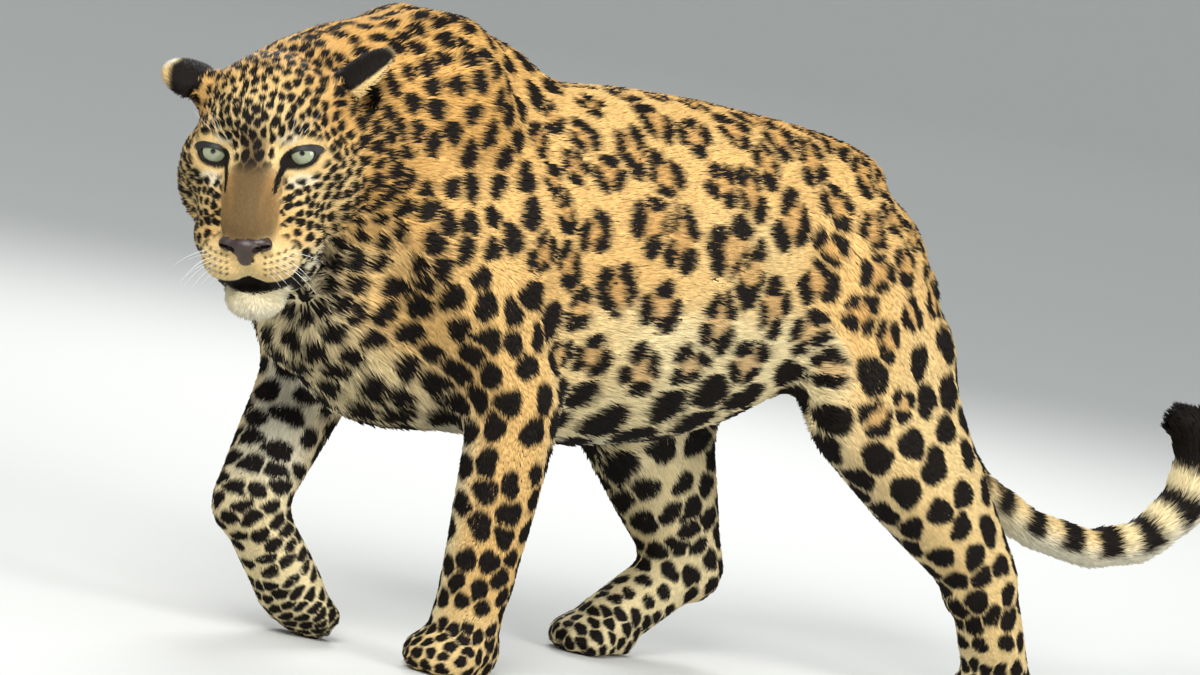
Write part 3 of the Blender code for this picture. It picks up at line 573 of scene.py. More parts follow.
# Paint of skin and coat alike: the ground, the spots, and the marks that stand at fixed
# places, which are those of the face, the lips, the backs of the ears and the tail.
EYE_MIDDLE = (0.0455, 0.000)
EYE_HALF = (0.0165, 0.0095)
EYE_SLANT = math.radians(12.0)
EAR_TIP_LEFT = (0.128, -0.092, 0.084)
EAR_TIP_RIGHT = (-0.113, -0.094, 0.068)
NOSTRILS = ((0.0140, 0.0880, -0.0760), (0.0208, 0.0830, -0.0728))
LIP_LINE = 0.1225
LIP_HALF = 0.0085
LIDS_EDGE = (1.36, 1.16)
NOSTRIL_SHADE_EDGE = (0.0080, 0.0060)
PAD_DOTS = (4, 5)
FIRST_DOT = (0.0200, -0.0860)
DOTS_APART = 0.0062
DOTS_CLIMB = 0.0011
DOT_EDGE = (0.0021, 0.0012)
TAIL_RINGS_APART = 0.066
TAIL_RINGS_FROM = (0.40, 0.52)
TAIL_TIP_FROM = (0.865, 0.885)
TAIL_PATH = np.array((
    (-0.007, 0.140, 0.560), (-0.011, 0.258, 0.468), (-0.017, 0.295, 0.395), (-0.023, 0.352, 0.310),
    (-0.027, 0.435, 0.242), (-0.027, 0.535, 0.200), (-0.023, 0.635, 0.182), (-0.017, 0.715, 0.196),
    (-0.013, 0.772, 0.240), (-0.011, 0.792, 0.298), (-0.011, 0.770, 0.346), (-0.011, 0.732, 0.356),
))
# Soft patches of the face, seen from in front: middle, half sizes, colour and strength.
FACE_PATCHES = (
    ((0.034, 0.020), (0.010, 0.006), WHITE, 0.60),
    ((0.049, -0.022), (0.013, 0.006), WHITE, 0.70),
    ((0.021, -0.030), (0.008, 0.022), TAWNY, 0.45),
    ((0.000, -0.034), (0.018, 0.042), OLIVE, 0.80),
    ((0.022, -0.046), (0.006, 0.022), OLIVE, 0.70),
    ((0.000, 0.012), (0.012, 0.016), OLIVE, 0.50),
)
# Strokes of the face, seen from in front: a path of (x, z) and the half width at each end.
FACE_STROKES = (
    (((0.0310, -0.004), (0.0268, -0.014), (0.0255, -0.026)), 0.0042, 0.0016),
    (((0.0600, 0.002), (0.0680, 0.004)), 0.0022, 0.0007),
    (((0.0330, -0.034), (0.0350, -0.038)), 0.0019, 0.0012),
    (((0.0310, -0.046), (0.0335, -0.051)), 0.0018, 0.0012),
    (((0.0400, -0.040), (0.0430, -0.044)), 0.0020, 0.0012),
    (((0.0320, -0.060), (0.0360, -0.063)), 0.0017, 0.0011),
    (((0.0400, -0.054), (0.0450, -0.057)), 0.0020, 0.0012),
    (((0.0180, 0.026), (0.0160, 0.036)), 0.0018, 0.0010),
    (((0.0260, 0.032), (0.0250, 0.043)), 0.0020, 0.0010),
    (((0.0080, 0.040), (0.0075, 0.054)), 0.0019, 0.0010),
    (((0.0360, 0.036), (0.0370, 0.046)), 0.0020, 0.0010),
    (((0.0160, 0.052), (0.0165, 0.064)), 0.0021, 0.0010),
)


def tinted(mesh, colours):
    """Writes a colour for each vertex, as the attribute that the materials read."""
    layer = mesh.color_attributes.new("tint", "FLOAT_COLOR", "POINT")
    full = np.concatenate([colours, np.ones((len(colours), 1))], 1)
    layer.data.foreach_set("color", full.astype(np.float32).ravel())


def toward(colour, other, strength):
    """The colour at each place, taken toward the other by the strength there."""
    return colour + (np.array(other) - colour) * np.asarray(strength)[:, None]


def stroke_at(flat, path, start, end):
    """How black a stroke along the path, this wide at its start and end, makes each place."""
    nearest = np.full(len(flat), 9.0)
    count = len(path) - 1
    for index in range(count):
        first, second = np.array(path[index]), np.array(path[index + 1])
        run = second - first
        part = np.clip(((flat - first) @ run) / (run @ run), 0.0, 1.0)
        gap = np.linalg.norm(flat - first - part[:, None] * run, axis=1)
        width = start + (end - start) * (index + part) / count
        nearest = np.minimum(nearest, gap / width)
    return smooth(1.25, 0.80, nearest)


def from_eye(flat):
    """How far each place seen from in front is from the eye's middle: 1 at the edge of the opening."""
    x = flat[:, 0] - EYE_MIDDLE[0]
    z = flat[:, 1] - EYE_MIDDLE[1]
    slanted_x = x * math.cos(EYE_SLANT) + z * math.sin(EYE_SLANT)
    slanted_z = z * math.cos(EYE_SLANT) - x * math.sin(EYE_SLANT)
    return np.hypot(slanted_x / EYE_HALF[0], slanted_z / EYE_HALF[1])


def both_sides(local):
    """Places about the head with the right side folded onto the left."""
    return np.stack([np.abs(local[:, 0]), local[:, 1], local[:, 2]], 1)


def along_tail(spots):
    """How far along the tail each place is, and how far round to its underside."""
    run = np.diff(TAIL_PATH, axis=0)
    length = np.linalg.norm(run, axis=1)
    before = np.concatenate(([0.0], np.cumsum(length)[:-1]))
    nearest = np.full(len(spots), 9.0)
    reached = np.zeros(len(spots))
    under = np.zeros(len(spots))
    for index in range(len(run)):
        part = np.clip(((spots - TAIL_PATH[index]) @ run[index]) / length[index] ** 2, 0.0, 1.0)
        off = spots - TAIL_PATH[index] - part[:, None] * run[index]
        gap = np.linalg.norm(off, axis=1)
        closer = gap < nearest
        side = np.cross((1.0, 0.0, 0.0), run[index] / length[index])
        nearest = np.where(closer, gap, nearest)
        reached = np.where(closer, before[index] + part * length[index], reached)
        under = np.where(closer, -(off @ side) / (gap + 1e-6), under)
    return reached, under


def paint_at(spots, facing, owners, values):
    """The colour of the skin or hair at each place."""
    ground = values[:, 1:4].copy()
    black, deep = spots_at(spots, facing)
    local = about_head(spots)
    flat = np.stack([np.abs(local[:, 0]), local[:, 2]], 1)
    about_face = np.linalg.norm(local - HEAD_BALL, axis=1) < FACE_REACH
    in_front = smooth(-0.045, -0.015, local[:, 1]) * about_face
    for centre, half, colour, strength in FACE_PATCHES:
        out = np.hypot((flat[:, 0] - centre[0]) / half[0], (flat[:, 1] - centre[1]) / half[1])
        ground = toward(ground, colour, smooth(1.5, 0.6, out) * strength * in_front)
    # No thrown spot falls on the bridge, the eyes' surrounds, the pads or the chin.
    plain_face = smooth(0.034, 0.026, flat[:, 0]) * smooth(0.004, -0.012, flat[:, 1])
    about_eye = np.hypot((flat[:, 0] - EYE_MIDDLE[0]) / 0.025, flat[:, 1] / 0.020)
    plain_face = np.maximum(plain_face, smooth(1.15, 0.85, about_eye))
    plain_face = np.maximum(plain_face, smooth(0.048, 0.058, local[:, 1]))
    black = black * (1 - plain_face * in_front)
    deep = deep * (1 - in_front)
    for path, start, end in FACE_STROKES:
        black = np.maximum(black, stroke_at(flat, path, start, end) * in_front)
    # Rows of dots on the pads of the lip, and the rims of the eyes.
    for row in range(PAD_DOTS[0]):
        for dot in range(PAD_DOTS[1]):
            across = FIRST_DOT[0] + DOTS_APART * dot
            height = FIRST_DOT[1] - DOTS_APART * row + DOTS_CLIMB * dot
            gap = np.hypot(flat[:, 0] - across, flat[:, 1] - height)
            black = np.maximum(black, smooth(*DOT_EDGE, gap) * 0.85 * in_front)
    black = np.maximum(black, smooth(*LIDS_EDGE, from_eye(flat)) * in_front)
    # The nostrils and the skin under the nose leather are painted black, as painted shade inside the
    # nostril openings.
    for nostril in NOSTRILS:
        gap = np.linalg.norm(both_sides(local) - nostril, axis=1)
        black = np.maximum(black, smooth(*NOSTRIL_SHADE_EDGE, gap))
    black = np.where(owners == part_names.index("nose"), 1.0, black)
    # Lips and mouth line.
    lip = np.abs(local[:, 2] + LIP_LINE) / (LIP_HALF + 0.003 * smooth(0.020, 0.045, flat[:, 0]))
    lip = smooth(1.20, 0.85, lip) * smooth(0.004, 0.018, local[:, 1]) * smooth(0.064, 0.056, flat[:, 0])
    black = np.maximum(black, lip * about_face)
    # Backs of the ears are black with a pale patch near the tip, and the cups are pale.
    on_ear = np.isin(owners, [EAR_LEFT, EAR_RIGHT])
    behind = smooth(0.10, -0.20, facing @ np.array(forward))
    left_top = smooth(-0.006, -0.001, local[:, 2] - 0.050 - 0.69 * (local[:, 0] - 0.075))
    right_top = smooth(0.112, 0.102, -local[:, 0])
    above = np.where(local[:, 0] > 0, left_top, right_top)
    from_left = np.linalg.norm(local - np.array(EAR_TIP_LEFT), axis=1)
    from_right = np.linalg.norm(local - np.array(EAR_TIP_RIGHT), axis=1)
    tip = np.maximum(smooth(0.016, 0.008, from_left) * 0.3, smooth(0.018, 0.008, from_right))
    ground = toward(ground, SAND, on_ear * 0.9)
    ground = toward(ground, WHITE, on_ear * tip)
    black = np.where(on_ear, np.maximum(behind, above) * (1 - tip), black)
    # The tail's end has rings over a white underside, and is black at the tip.
    reached, under = along_tail(spots)
    on_tail = np.isin(owners, TAIL_OWNERS)
    ring = smooth(-0.50, -0.05, np.sin(2 * math.pi * reached / TAIL_RINGS_APART))
    ring = ring * smooth(0.70, 0.25, under)
    late = smooth(*TAIL_RINGS_FROM, reached) * on_tail
    black = black * (1 - late) + ring * late
    deep = deep * (1 - late)
    black = np.maximum(black, smooth(*TAIL_TIP_FROM, reached) * on_tail)
    ground = toward(ground, TAWNY, deep * 0.55)
    return toward(ground, BLACK, black)


# The skin's finish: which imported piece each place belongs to, so that the coat can part
# there, its depth at the nose, the eyes and the soles, its paint and its material.
SOLE = 0.012

part_names = sorted(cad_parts)
EAR_LEFT = part_names.index("ear_left")
EAR_RIGHT = part_names.index("ear_right")
TAIL_OWNERS = [part_names.index(name) for name in part_names if name.startswith("tail")]
sample_places = []
sample_owners = []
for number, name in enumerate(part_names):
    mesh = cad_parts[name].data
    middles = np.array([polygon.center for polygon in mesh.polygons])
    for spot in np.concatenate((points_of(mesh), middles)):
        sample_places.append(spot)
        sample_owners.append(number)
part_tree = tree_of(sample_places)
owners = np.array([sample_owners[part_tree.find(spot)[1]] for spot in places])
under_bare = np.isin(owners, [part_names.index(name) for name in sorted(BARE)])
depth = np.where(under_bare, UNDER_BARE, depth)
depth[(places[:, 2] < SOLE) & (facing[:, 2] < -0.6)] = 0.0
moved(skin.data, places - facing * depth[:, None])
skin_paint = paint_at(places, facing, owners, values)
tinted(skin.data, skin_paint)
skin.data.shade_smooth()


def painted(name, roughness):
    """A material that takes its colour from the piece's own tint."""
    made = bpy.data.materials.new(name)
    made.use_nodes = True
    nodes = made.node_tree.nodes
    shader = nodes["Principled BSDF"]
    shader.inputs["Roughness"].default_value = roughness
    shader.inputs["Specular IOR Level"].default_value = 0.16
    colour = nodes.new("ShaderNodeAttribute")
    colour.attribute_name = "tint"
    made.node_tree.links.new(colour.outputs["Color"], shader.inputs["Base Color"])
    return made


skin_material = painted("skin under the coat", 0.75)
skin.data.materials.clear()
skin.data.materials.append(skin_material)
for polygon in skin.data.polygons:
    polygon.material_index = 0
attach(skin, "root")
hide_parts(*[name for name in part_names if name not in BARE])


# Coat: slim closed tufts, each for a few hairs, rooted all over the skin and lying the way
# the hair runs. They are shortest and finest on the face and feet, longest on the belly.
COAT_SEED = 23
SPACING_PER_HAIR = 0.200
CLOSEST = 0.00130
WIDEST = 0.00270
TUFTS_IN_PIECE = 47000
TUFT_BREADTH = 0.24
NARROWEST = 0.0014
BROADEST = 0.0034
TUFT_RISE = 0.34
TUFT_RUFFLE = 0.22
EAR_HAIR = 0.0065
LIP_HAIR = 0.0022
LENGTHS = (0.78, 1.18)
SHADES = (0.84, 1.14)
UPRIGHT = 1.3
MAP_FILLED = 0.98
MAP_MARGIN = 0.008
MAP_PATCH = ((0.0, 0.0), (0.003, 0.0), (0.0015, 0.0015), (0.0015, 0.003))
ROOT_PAINT = 0.25
TIP_PAINT = 0.80

chance = np.random.default_rng(COAT_SEED)
mesh = skin.data
mesh.calc_loop_triangles()
corners = np.empty(len(mesh.loop_triangles) * 3, np.int32)
mesh.loop_triangles.foreach_get("vertices", corners)
corners = corners.reshape(-1, 3)
skin_places = points_of(mesh)
one, two, three = (skin_places[corners[:, column]] for column in range(3))
area = np.linalg.norm(np.cross(two - one, three - one), axis=1) / 2
apart = np.clip(values[corners[:, 0], 0] * 0.001 * SPACING_PER_HAIR, CLOSEST, WIDEST)
wanted = area / apart ** 2
count = np.floor(wanted + chance.random(len(wanted))).astype(int)
chosen = np.repeat(np.arange(len(corners)), count)
first, second = chance.random((2, len(chosen)))
folded = first + second > 1
first[folded], second[folded] = 1 - first[folded], 1 - second[folded]
share = np.stack([1 - first - second, first, second], 1)[:, :, None]
roots = (skin_places[corners[chosen]] * share).sum(1)
rise = (facing[corners[chosen]] * share).sum(1)
rise /= np.linalg.norm(rise, axis=1, keepdims=True)
root_owner = owners[corners[chosen, 0]]
# Bare places: the eyes and their rims, the nose, the nostrils and the soles.
local = about_head(roots)
about_face = np.linalg.norm(local - HEAD_BALL, axis=1) < FACE_REACH
on_lips = (np.abs(local[:, 2] + LIP_LINE) < LIP_HALF) & (local[:, 1] > 0.012) & about_face
folded_places = both_sides(local)
bare = (from_eye(folded_places[:, [0, 2]]) < 1.22) & (local[:, 1] > -0.03)
bare |= root_owner == part_names.index("nose")
for nostril in NOSTRILS:
    bare |= np.linalg.norm(folded_places - nostril, axis=1) < 0.0055
bare |= np.isin(root_owner, [part_names.index("eye_left"), part_names.index("eye_right")])
bare |= (roots[:, 2] < 0.006) & (rise[:, 2] < -0.5)
roots, rise, root_owner = roots[~bare], rise[~bare], root_owner[~bare]
root_lies, root_values = coat_at(roots, rise)
hair = root_values[:, 0] * 0.001
on_ears = np.isin(root_owner, [EAR_LEFT, EAR_RIGHT])
hair = np.where(on_ears, EAR_HAIR, hair)
hair = np.where(on_lips[~bare], LIP_HAIR, hair)
# Each tuft is painted where its root half and its tip lie, so that the spots stay crisp.
shade = chance.uniform(*SHADES, (len(roots), 1))
reached_by = root_lies * hair[:, None]
root_paint = paint_at(roots + reached_by * ROOT_PAINT, rise, root_owner, root_values) * shade
tip_paint = paint_at(roots + reached_by * TIP_PAINT, rise, root_owner, root_values) * shade

tuft_mesh = bpy.data.meshes.new("tuft")
tuft_mesh.from_pydata(
    [(-0.5, 0.0, -0.20), (0.5, 0.0, -0.20), (0.0, 0.42, 0.72), (0.0, 1.0, 0.85)],
    [],
    [(0, 2, 3), (1, 3, 2), (0, 1, 2), (0, 3, 1)],
)
tuft_shape = bmesh.new()
tuft_shape.from_mesh(tuft_mesh)
bmesh.ops.recalc_face_normals(tuft_shape, faces=tuft_shape.faces)
tuft_shape.to_mesh(tuft_mesh)
tuft_shape.free()
tuft_mesh.shade_smooth()
tuft = placed("tuft", tuft_mesh)

coat_tree = bpy.data.node_groups.new("coat of tufts", "GeometryNodeTree")
sockets = coat_tree.interface
for name, kind in (
    ("Roots", "Geometry"), ("Tuft", "Object"), ("Rise", "Float"),
    ("Ruffle", "Float"), ("Seed", "Int"), ("Fur", "Material"),
):
    sockets.new_socket(name, in_out="INPUT", socket_type="NodeSocket" + kind)
sockets.new_socket("Coat", in_out="OUTPUT", socket_type="NodeSocketGeometry")
inputs = {item.name: item.identifier for item in sockets.items_tree if item.in_out == "INPUT"}


def add(kind, **settings):
    """A new node of the coat's tree."""
    node = coat_tree.nodes.new(kind)
    for name, value in settings.items():
        setattr(node, name, value)
    return node


def joined(value, socket):
    """Links the value to the socket or, if it is a plain number, sets it there."""
    if isinstance(value, (int, float)):
        socket.default_value = value
    else:
        coat_tree.links.new(value, socket)


def named(name, kind):
    """The value that each root carries under this name."""
    node = add("GeometryNodeInputNamedAttribute", data_type=kind)
    node.inputs["Name"].default_value = name
    return node.outputs["Attribute"]


def between_values(low, high, seed_step):
    """A random number for each tuft. The seed is the tree's own, moved on a step."""
    node = add("FunctionNodeRandomValue", data_type="FLOAT")
    joined(low, node.inputs[2])
    joined(high, node.inputs[3])
    step = add("ShaderNodeMath", operation="ADD")
    joined(given.outputs["Seed"], step.inputs[0])
    step.inputs[1].default_value = seed_step
    joined(step.outputs[0], node.inputs["Seed"])
    return node.outputs[1]


def times(first, second):
    """One value multiplied by another."""
    node = add("ShaderNodeMath", operation="MULTIPLY")
    joined(first, node.inputs[0])
    joined(second, node.inputs[1])
    return node.outputs[0]


given = add("NodeGroupInput")
leaving = add("NodeGroupOutput")
aim = add("FunctionNodeAxesToRotation", primary_axis="Z", secondary_axis="Y")
joined(named("up", "FLOAT_VECTOR"), aim.inputs["Primary Axis"])
joined(named("lie", "FLOAT_VECTOR"), aim.inputs["Secondary Axis"])
spin = add("ShaderNodeCombineXYZ")
ruffle = given.outputs["Ruffle"]
joined(between_values(times(ruffle, -0.5), times(ruffle, 0.5), 1), spin.inputs["X"])
joined(between_values(times(ruffle, -1.0), ruffle, 2), spin.inputs["Z"])
spin_turn = add("FunctionNodeEulerToRotation")
joined(spin.outputs[0], spin_turn.inputs[0])
turned = add("FunctionNodeRotateRotation", rotation_space="LOCAL")
joined(aim.outputs[0], turned.inputs[0])
joined(spin_turn.outputs[0], turned.inputs[1])
tuft_length = times(named("size", "FLOAT"), between_values(*LENGTHS, 3))
scale = add("ShaderNodeCombineXYZ")
joined(named("breadth", "FLOAT"), scale.inputs["X"])
joined(tuft_length, scale.inputs["Y"])
joined(times(tuft_length, given.outputs["Rise"]), scale.inputs["Z"])
shape = add("GeometryNodeObjectInfo")
joined(given.outputs["Tuft"], shape.inputs["Object"])
planted = add("GeometryNodeInstanceOnPoints")
joined(given.outputs["Roots"], planted.inputs["Points"])
joined(shape.outputs["Geometry"], planted.inputs["Instance"])
joined(turned.outputs[0], planted.inputs["Rotation"])
joined(scale.outputs[0], planted.inputs["Scale"])
solid = add("GeometryNodeRealizeInstances")
joined(planted.outputs[0], solid.inputs[0])
own = add("GeometryNodeInputNormal")
blend = add("ShaderNodeVectorMath", operation="SCALE")
joined(named("up", "FLOAT_VECTOR"), blend.inputs[0])
blend.inputs["Scale"].default_value = UPRIGHT
both = add("ShaderNodeVectorMath", operation="ADD")
joined(blend.outputs[0], both.inputs[0])
joined(own.outputs[0], both.inputs[1])
unit = add("ShaderNodeVectorMath", operation="NORMALIZE")
joined(both.outputs[0], unit.inputs[0])
shaded = add("GeometryNodeSetMeshNormal", mode="FREE", domain="POINT")
joined(solid.outputs[0], shaded.inputs["Mesh"])
joined(unit.outputs[0], shaded.inputs["Custom Normal"])
dressed = add("GeometryNodeSetMaterial")
joined(shaded.outputs[0], dressed.inputs["Geometry"])
joined(given.outputs["Fur"], dressed.inputs["Material"])
joined(dressed.outputs[0], leaving.inputs["Coat"])

fur_material = painted("fur", 0.66)


def planted_piece(name, spots, lies, ups, lengths, breadths, rise, ruffle, seed, material):
    """Plants the tuft's shape at each spot, along its lie, and makes one plain mesh of them."""
    rooted = bpy.data.meshes.new(name)
    rooted.vertices.add(len(spots))
    rooted.vertices.foreach_set("co", spots.astype(np.float32).ravel())
    for label, kind, rows in (
        ("lie", "FLOAT_VECTOR", lies),
        ("up", "FLOAT_VECTOR", ups),
        ("size", "FLOAT", lengths),
        ("breadth", "FLOAT", breadths),
    ):
        layer = rooted.attributes.new(label, kind, "POINT")
        field = "value" if kind == "FLOAT" else "vector"
        layer.data.foreach_set(field, rows.astype(np.float32).ravel())
    piece = placed(name, rooted)
    modifier = piece.modifiers.new("planting", "NODES")
    modifier.node_group = coat_tree
    modifier[inputs["Tuft"]] = tuft
    modifier[inputs["Rise"]] = rise
    modifier[inputs["Ruffle"]] = ruffle
    modifier[inputs["Seed"]] = seed
    modifier[inputs["Fur"]] = material
    return settled(piece)


def coat_piece(name, chosen):
    """One piece of the coat from these roots, with a bake patch for each tuft at its root's place."""
    breadths = np.clip(hair[chosen] * TUFT_BREADTH, NARROWEST, BROADEST)
    piece = planted_piece(
        name, roots[chosen], root_lies[chosen], rise[chosen], hair[chosen], breadths,
        TUFT_RISE, TUFT_RUFFLE, COAT_SEED, fur_material,
    )
    colours = np.empty((len(chosen), 4, 3))
    colours[:, 0:2] = root_paint[chosen][:, None, :]
    colours[:, 2] = (root_paint[chosen] + tip_paint[chosen]) / 2
    colours[:, 3] = tip_paint[chosen]
    tinted(piece.data, colours.reshape(-1, 3))
    for label in ("lie", "up", "size", "breadth"):
        found = piece.data.attributes.get(label)
        if found is not None:
            piece.data.attributes.remove(found)
    centred = roots[chosen] - roots[chosen].mean(0)
    axes = np.linalg.svd(centred[::7], full_matrices=False)[2]
    run = centred @ axes[0]
    turn = np.arctan2(centred @ axes[1], centred @ axes[2]) / (2 * math.pi) + 0.5
    along = (run - run.min()) / (run.max() - run.min())
    on_map = np.stack([turn, along], 1) * MAP_FILLED + MAP_MARGIN
    corner = np.empty(len(piece.data.loops), np.int32)
    piece.data.loops.foreach_get("vertex_index", corner)
    placed_corners = on_map[corner // 4] + np.array(MAP_PATCH)[corner % 4]
    layer = piece.data.uv_layers.new(name="OFBake")
    layer.uv.foreach_set("vector", placed_corners.astype(np.float32).ravel())
    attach(piece, "root")
    return piece


COAT_PIECES = (
    ("head_coat", ("head", "jaw", "nose"), "tawny_coat"),
    ("ear_coat", ("ear_left", "ear_right"), "black_coat"),
    ("neck_coat", ("neck",), "tawny_coat"),
    ("chest_coat", ("chest",), "tawny_coat"),
    ("barrel_coat", ("barrel",), "tawny_coat"),
    ("hip_coat", ("hips",), "tawny_coat"),
    ("left_thigh_coat", ("thigh_left",), "tawny_coat"),
    ("right_thigh_coat", ("thigh_right",), "tawny_coat"),
    ("left_shank_coat", ("shank_left", "hind_foot_left"), "paw_coat"),
    ("right_shank_coat", ("shank_right", "hind_foot_right"), "paw_coat"),
    ("left_foreleg_coat", ("forearm_left", "fore_paw_left"), "paw_coat"),
    ("right_foreleg_coat", ("forearm_right", "fore_paw_right"), "paw_coat"),
    ("tail_coat", ("tail_1", "tail_2", "tail_3", "tail_4"), "tail_coat"),
)
for name, covered, slot in COAT_PIECES:
    numbers = [part_names.index(part) for part in covered]
    mine = np.nonzero(np.isin(root_owner, numbers))[0]
    parts = max(1, math.ceil(len(mine) / TUFTS_IN_PIECE))
    order = mine[np.argsort(roots[mine, 1], kind="stable")]
    for number, chosen in enumerate(np.array_split(order, parts)):
        coat_piece(name if parts == 1 else f"{name}_{number + 1}", chosen)


# Eyes: glossy balls sunk behind the lids, grey green with a small round pupil and a dark
# rim, each looking at the camera.
EYE_GAZE = {"eye_left": (0.102, 0.948, 0.302), "eye_right": (-0.005, 0.966, 0.257)}
IRIS_EDGE = math.cos(math.radians(50.5))
PUPIL_EDGE = math.cos(math.radians(10.5))
PUPIL = (0.004, 0.004, 0.004)
IRIS_RIM = (0.02, 0.012, 0.008)
ROUND_IRIS = (0.05, 0.035, 0.025)
IRIS = (0.225, 0.245, 0.155)
FIBRE = (0.07, 0.07, 0.04)
FIBRES = 23

for name in ("eye_left", "eye_right"):
    low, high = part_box(name)
    radius = max(high - low) / 2
    centre = (low + high) / 2
    ball = bpy.data.meshes.new(name)
    bm = bmesh.new()
    bmesh.ops.create_uvsphere(bm, u_segments=64, v_segments=48, radius=radius)
    bm.to_mesh(ball)
    bm.free()
    look = head.to_3x3() @ Vector(EYE_GAZE[name]).normalized()
    aim_at = look.to_track_quat("Z", "Y").to_matrix().to_4x4()
    aim_at.translation = centre
    ball.transform(aim_at)
    ball.shade_smooth()
    rows = points_of(ball)
    outward = (rows - np.array(centre)) / radius
    near_pupil = outward @ np.array(look)
    around = np.arctan2(outward @ np.array(leftward), outward @ np.array(upward))
    fibre = 0.5 + 0.5 * np.sin(around * FIBRES)
    colour = np.tile(ROUND_IRIS, (len(rows), 1))
    colour = toward(colour, IRIS_RIM, smooth(IRIS_EDGE - 0.05, IRIS_EDGE, near_pupil))
    grey_green = np.array(IRIS) + np.array(FIBRE) * fibre[:, None]
    inner = smooth(IRIS_EDGE + 0.02, IRIS_EDGE + 0.07, near_pupil)
    colour = colour + (grey_green - colour) * inner[:, None]
    in_pupil = smooth(PUPIL_EDGE - 0.004, PUPIL_EDGE + 0.002, near_pupil)
    colour = toward(colour, PUPIL, in_pupil)
    tinted(ball, colour)
    eye = placed(name + "_ball", ball)
    glass = painted(name + " glass", 0.06)
    wet = glass.node_tree.nodes["Principled BSDF"]
    wet.inputs["Coat Weight"].default_value = 1.0
    wet.inputs["Coat Roughness"].default_value = 0.02
    ball.materials.append(glass)
    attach(eye, "root")
    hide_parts(name)


# Nose leather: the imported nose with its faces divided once, in bare dark brown skin with
# a fine pebbled grain.
NOSE_BROWN = (0.034, 0.019, 0.014)

nose = placed("nose_leather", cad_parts["nose"].data.copy())
bm = bmesh.new()
bm.from_mesh(nose.data)
bmesh.ops.remove_doubles(bm, verts=bm.verts, dist=SAME_POINT)
bm.to_mesh(nose.data)
bm.free()
finer = nose.modifiers.new("finer", "SUBSURF")
finer.levels = 1
finer.render_levels = 1
settled(nose)
nose.data.shade_smooth()
nose_material = plain_material("nose leather", NOSE_BROWN, 0.38)
leather = nose_material.node_tree
pebble = leather.nodes.new("ShaderNodeTexVoronoi")
pebble.inputs["Scale"].default_value = 900.0
place_of = leather.nodes.new("ShaderNodeTexCoord")
raised = leather.nodes.new("ShaderNodeBump")
raised.inputs["Strength"].default_value = 0.35
raised.inputs["Distance"].default_value = 0.0004
leather.links.new(place_of.outputs["Object"], pebble.inputs["Vector"])
leather.links.new(pebble.outputs["Distance"], raised.inputs["Height"])
leather.links.new(raised.outputs["Normal"], leather.nodes["Principled BSDF"].inputs["Normal"])
nose.data.materials.clear()
nose.data.materials.append(nose_material)
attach(nose, "root")
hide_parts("nose")


# Lids: black bare skin round each eye, a thin shell over the ball with an almond opening
# that cuts the iris above and runs down to a point at the inner corner.
LID_WIDE = 0.0142
LID_ABOVE = 0.0072
LID_BELOW = 0.0084
LID_CLEAR = 0.0007
INNER_CORNER_DROP = 0.0030
LID_REACH = 1.60
LID_THICK = 0.0009
LID_POINTS = 72
LID_RINGS = 9
LID_ON_BALL = 0.90
LID_SLOPE = 0.9
LID_BLACK = (0.006, 0.005, 0.004)

lid_material = plain_material("lid skin", LID_BLACK, 0.60)
for name, side in (("left_lids", 1), ("right_lids", -1)):
    low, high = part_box("eye_left" if side > 0 else "eye_right")
    radius = max(high - low) / 2 + LID_CLEAR
    bm = bmesh.new()
    rings = []
    for step in range(LID_RINGS + 1):
        grown = 1 + (LID_REACH - 1) * step / LID_RINGS
        ring = []
        for point in range(LID_POINTS):
            angle = 2 * math.pi * point / LID_POINTS
            inner = max(0.0, -math.cos(angle))
            x = LID_WIDE * math.cos(angle) * grown
            half_height = LID_ABOVE if math.sin(angle) > 0 else LID_BELOW
            z = half_height * math.sin(angle) * grown - INNER_CORNER_DROP * inner ** 3
            turned_x = x * math.cos(EYE_SLANT) - z * math.sin(EYE_SLANT)
            turned_z = x * math.sin(EYE_SLANT) + z * math.cos(EYE_SLANT)
            off = math.hypot(turned_x, turned_z)
            edge = radius * LID_ON_BALL
            if off < edge:
                y = math.sqrt(radius ** 2 - off ** 2)
            else:
                y = math.sqrt(radius ** 2 - edge ** 2) - (off - edge) * LID_SLOPE
            spot = Vector((side * (EYE_MIDDLE[0] + turned_x), y - EYE_BEHIND, turned_z))
            ring.append(bm.verts.new(head @ spot))
        rings.append(ring)
    banded(bm, rings)
    bmesh.ops.recalc_face_normals(bm, faces=bm.faces)
    towards = sum((face.normal for face in bm.faces), Vector())
    if towards.dot(forward) < 0:
        bmesh.ops.reverse_faces(bm, faces=bm.faces)
    lid_mesh = bpy.data.meshes.new(name)
    bm.to_mesh(lid_mesh)
    bm.free()
    lids = placed(name, lid_mesh)
    wall = lids.modifiers.new("wall", "SOLIDIFY")
    wall.thickness = LID_THICK
    wall.offset = 1.0
    settled(lids)
    lids.data.shade_smooth()
    lids.data.materials.clear()
    lids.data.materials.append(lid_material)
    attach(lids, "root")


# Whiskers: stiff white hairs that taper and droop, in three rows of four on each pad of
# the lip, with three over each brow. The coat's tree plants them in the tuft's place.
WHISKER_SEED = 31
WHISKER_STEPS = 8
WHISKER_SIDES = 5
WHISKER_ROOT = 0.00022
WHISKER_WHITE = (0.85, 0.84, 0.80)
WHISKER_ROWS = 3
WHISKERS_IN_ROW = 4
FIRST_WHISKER = (0.0225, -0.0880)
WHISKERS_APART = 0.0066
ROWS_APART = 0.0068
ROWS_CLIMB = 0.0011
BROW_WHISKERS = 3
BROW_FIRST = (0.036, 0.024)
BROW_APART = 0.006
DROOP = 0.24
WHISKER_RISE = 1.0
WHISKER_RUFFLE = 0.08
WHISKER_FLATNESS = 0.008

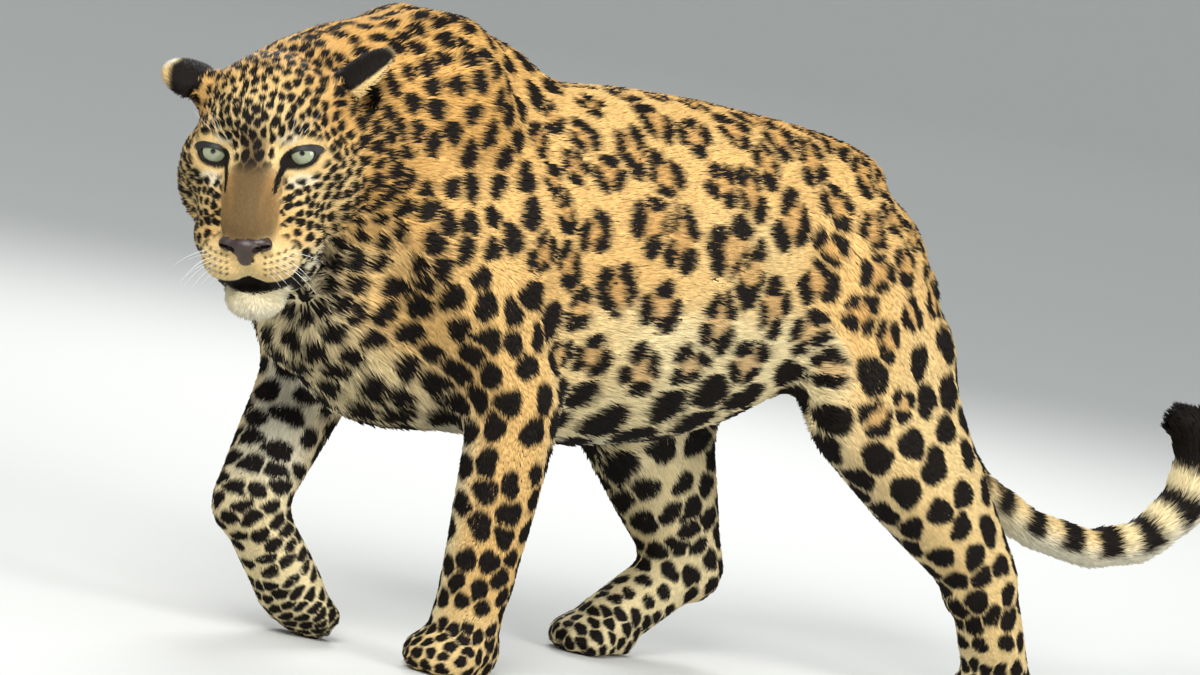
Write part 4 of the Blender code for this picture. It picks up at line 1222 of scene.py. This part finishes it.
bm = bmesh.new()
rings = []
for step in range(WHISKER_STEPS):
    part = step / WHISKER_STEPS
    ring = []
    for side in range(WHISKER_SIDES):
        angle = 2 * math.pi * side / WHISKER_SIDES
        wide = 1 - 0.8 * part
        height = wide * math.sin(angle) * WHISKER_FLATNESS - DROOP * part ** 2
        ring.append(bm.verts.new((wide * math.cos(angle), part, height)))
    rings.append(ring)
end = bm.verts.new((0.0, 1.0, -DROOP))
banded(bm, rings)
for side in range(WHISKER_SIDES):
    bm.faces.new((rings[-1][side], rings[-1][(side + 1) % WHISKER_SIDES], end))
bm.faces.new(rings[0][::-1])
bmesh.ops.recalc_face_normals(bm, faces=bm.faces)
bm.to_mesh(tuft_mesh)
bm.free()
chance = np.random.default_rng(WHISKER_SEED)
whisker_rows = []
for side in (1, -1):
    for row in range(WHISKER_ROWS):
        for dot in range(WHISKERS_IN_ROW):
            across = FIRST_WHISKER[0] + WHISKERS_APART * dot
            height = FIRST_WHISKER[1] - ROWS_APART * row + ROWS_CLIMB * dot
            reach = 0.018 + 0.0055 * dot + 0.005 * chance.random()
            way = (side * 0.95, 0.28 - 0.13 * dot, -0.12 - 0.20 * row + 0.12 * chance.normal())
            whisker_rows.append((side * across, height, way, reach))
    for number in range(BROW_WHISKERS):
        across = BROW_FIRST[0] + BROW_APART * number
        way = (side * (0.25 + 0.2 * number), 0.35, 0.85)
        whisker_rows.append((side * across, BROW_FIRST[1], way, 0.022 + 0.004 * number))
starts = []
ways = []
tops = []
reaches = []
for x, z, way, reach in whisker_rows:
    seen_from = head @ Vector((x, 0.20, z))
    found, spot, _, _ = skin.ray_cast(seen_from, -forward)
    if found:
        starts.append(spot)
        way = (head.to_3x3() @ Vector(way)).normalized()
        top = forward if way.dot(upward) > 0.6 else upward
        ways.append(way)
        tops.append((top - way * top.dot(way)).normalized())
        reaches.append(reach)
whisker_material = plain_material("whisker", WHISKER_WHITE, 0.35)
spots = np.array([tuple(spot) for spot in starts])
breadths = np.full(len(ways), WHISKER_ROOT)
whiskers = planted_piece(
    "whiskers", spots, np.array(ways), np.array(tops), np.array(reaches), breadths,
    WHISKER_RISE, WHISKER_RUFFLE, WHISKER_SEED, whisker_material,
)
bpy.data.objects.remove(tuft)
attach(whiskers, "root")
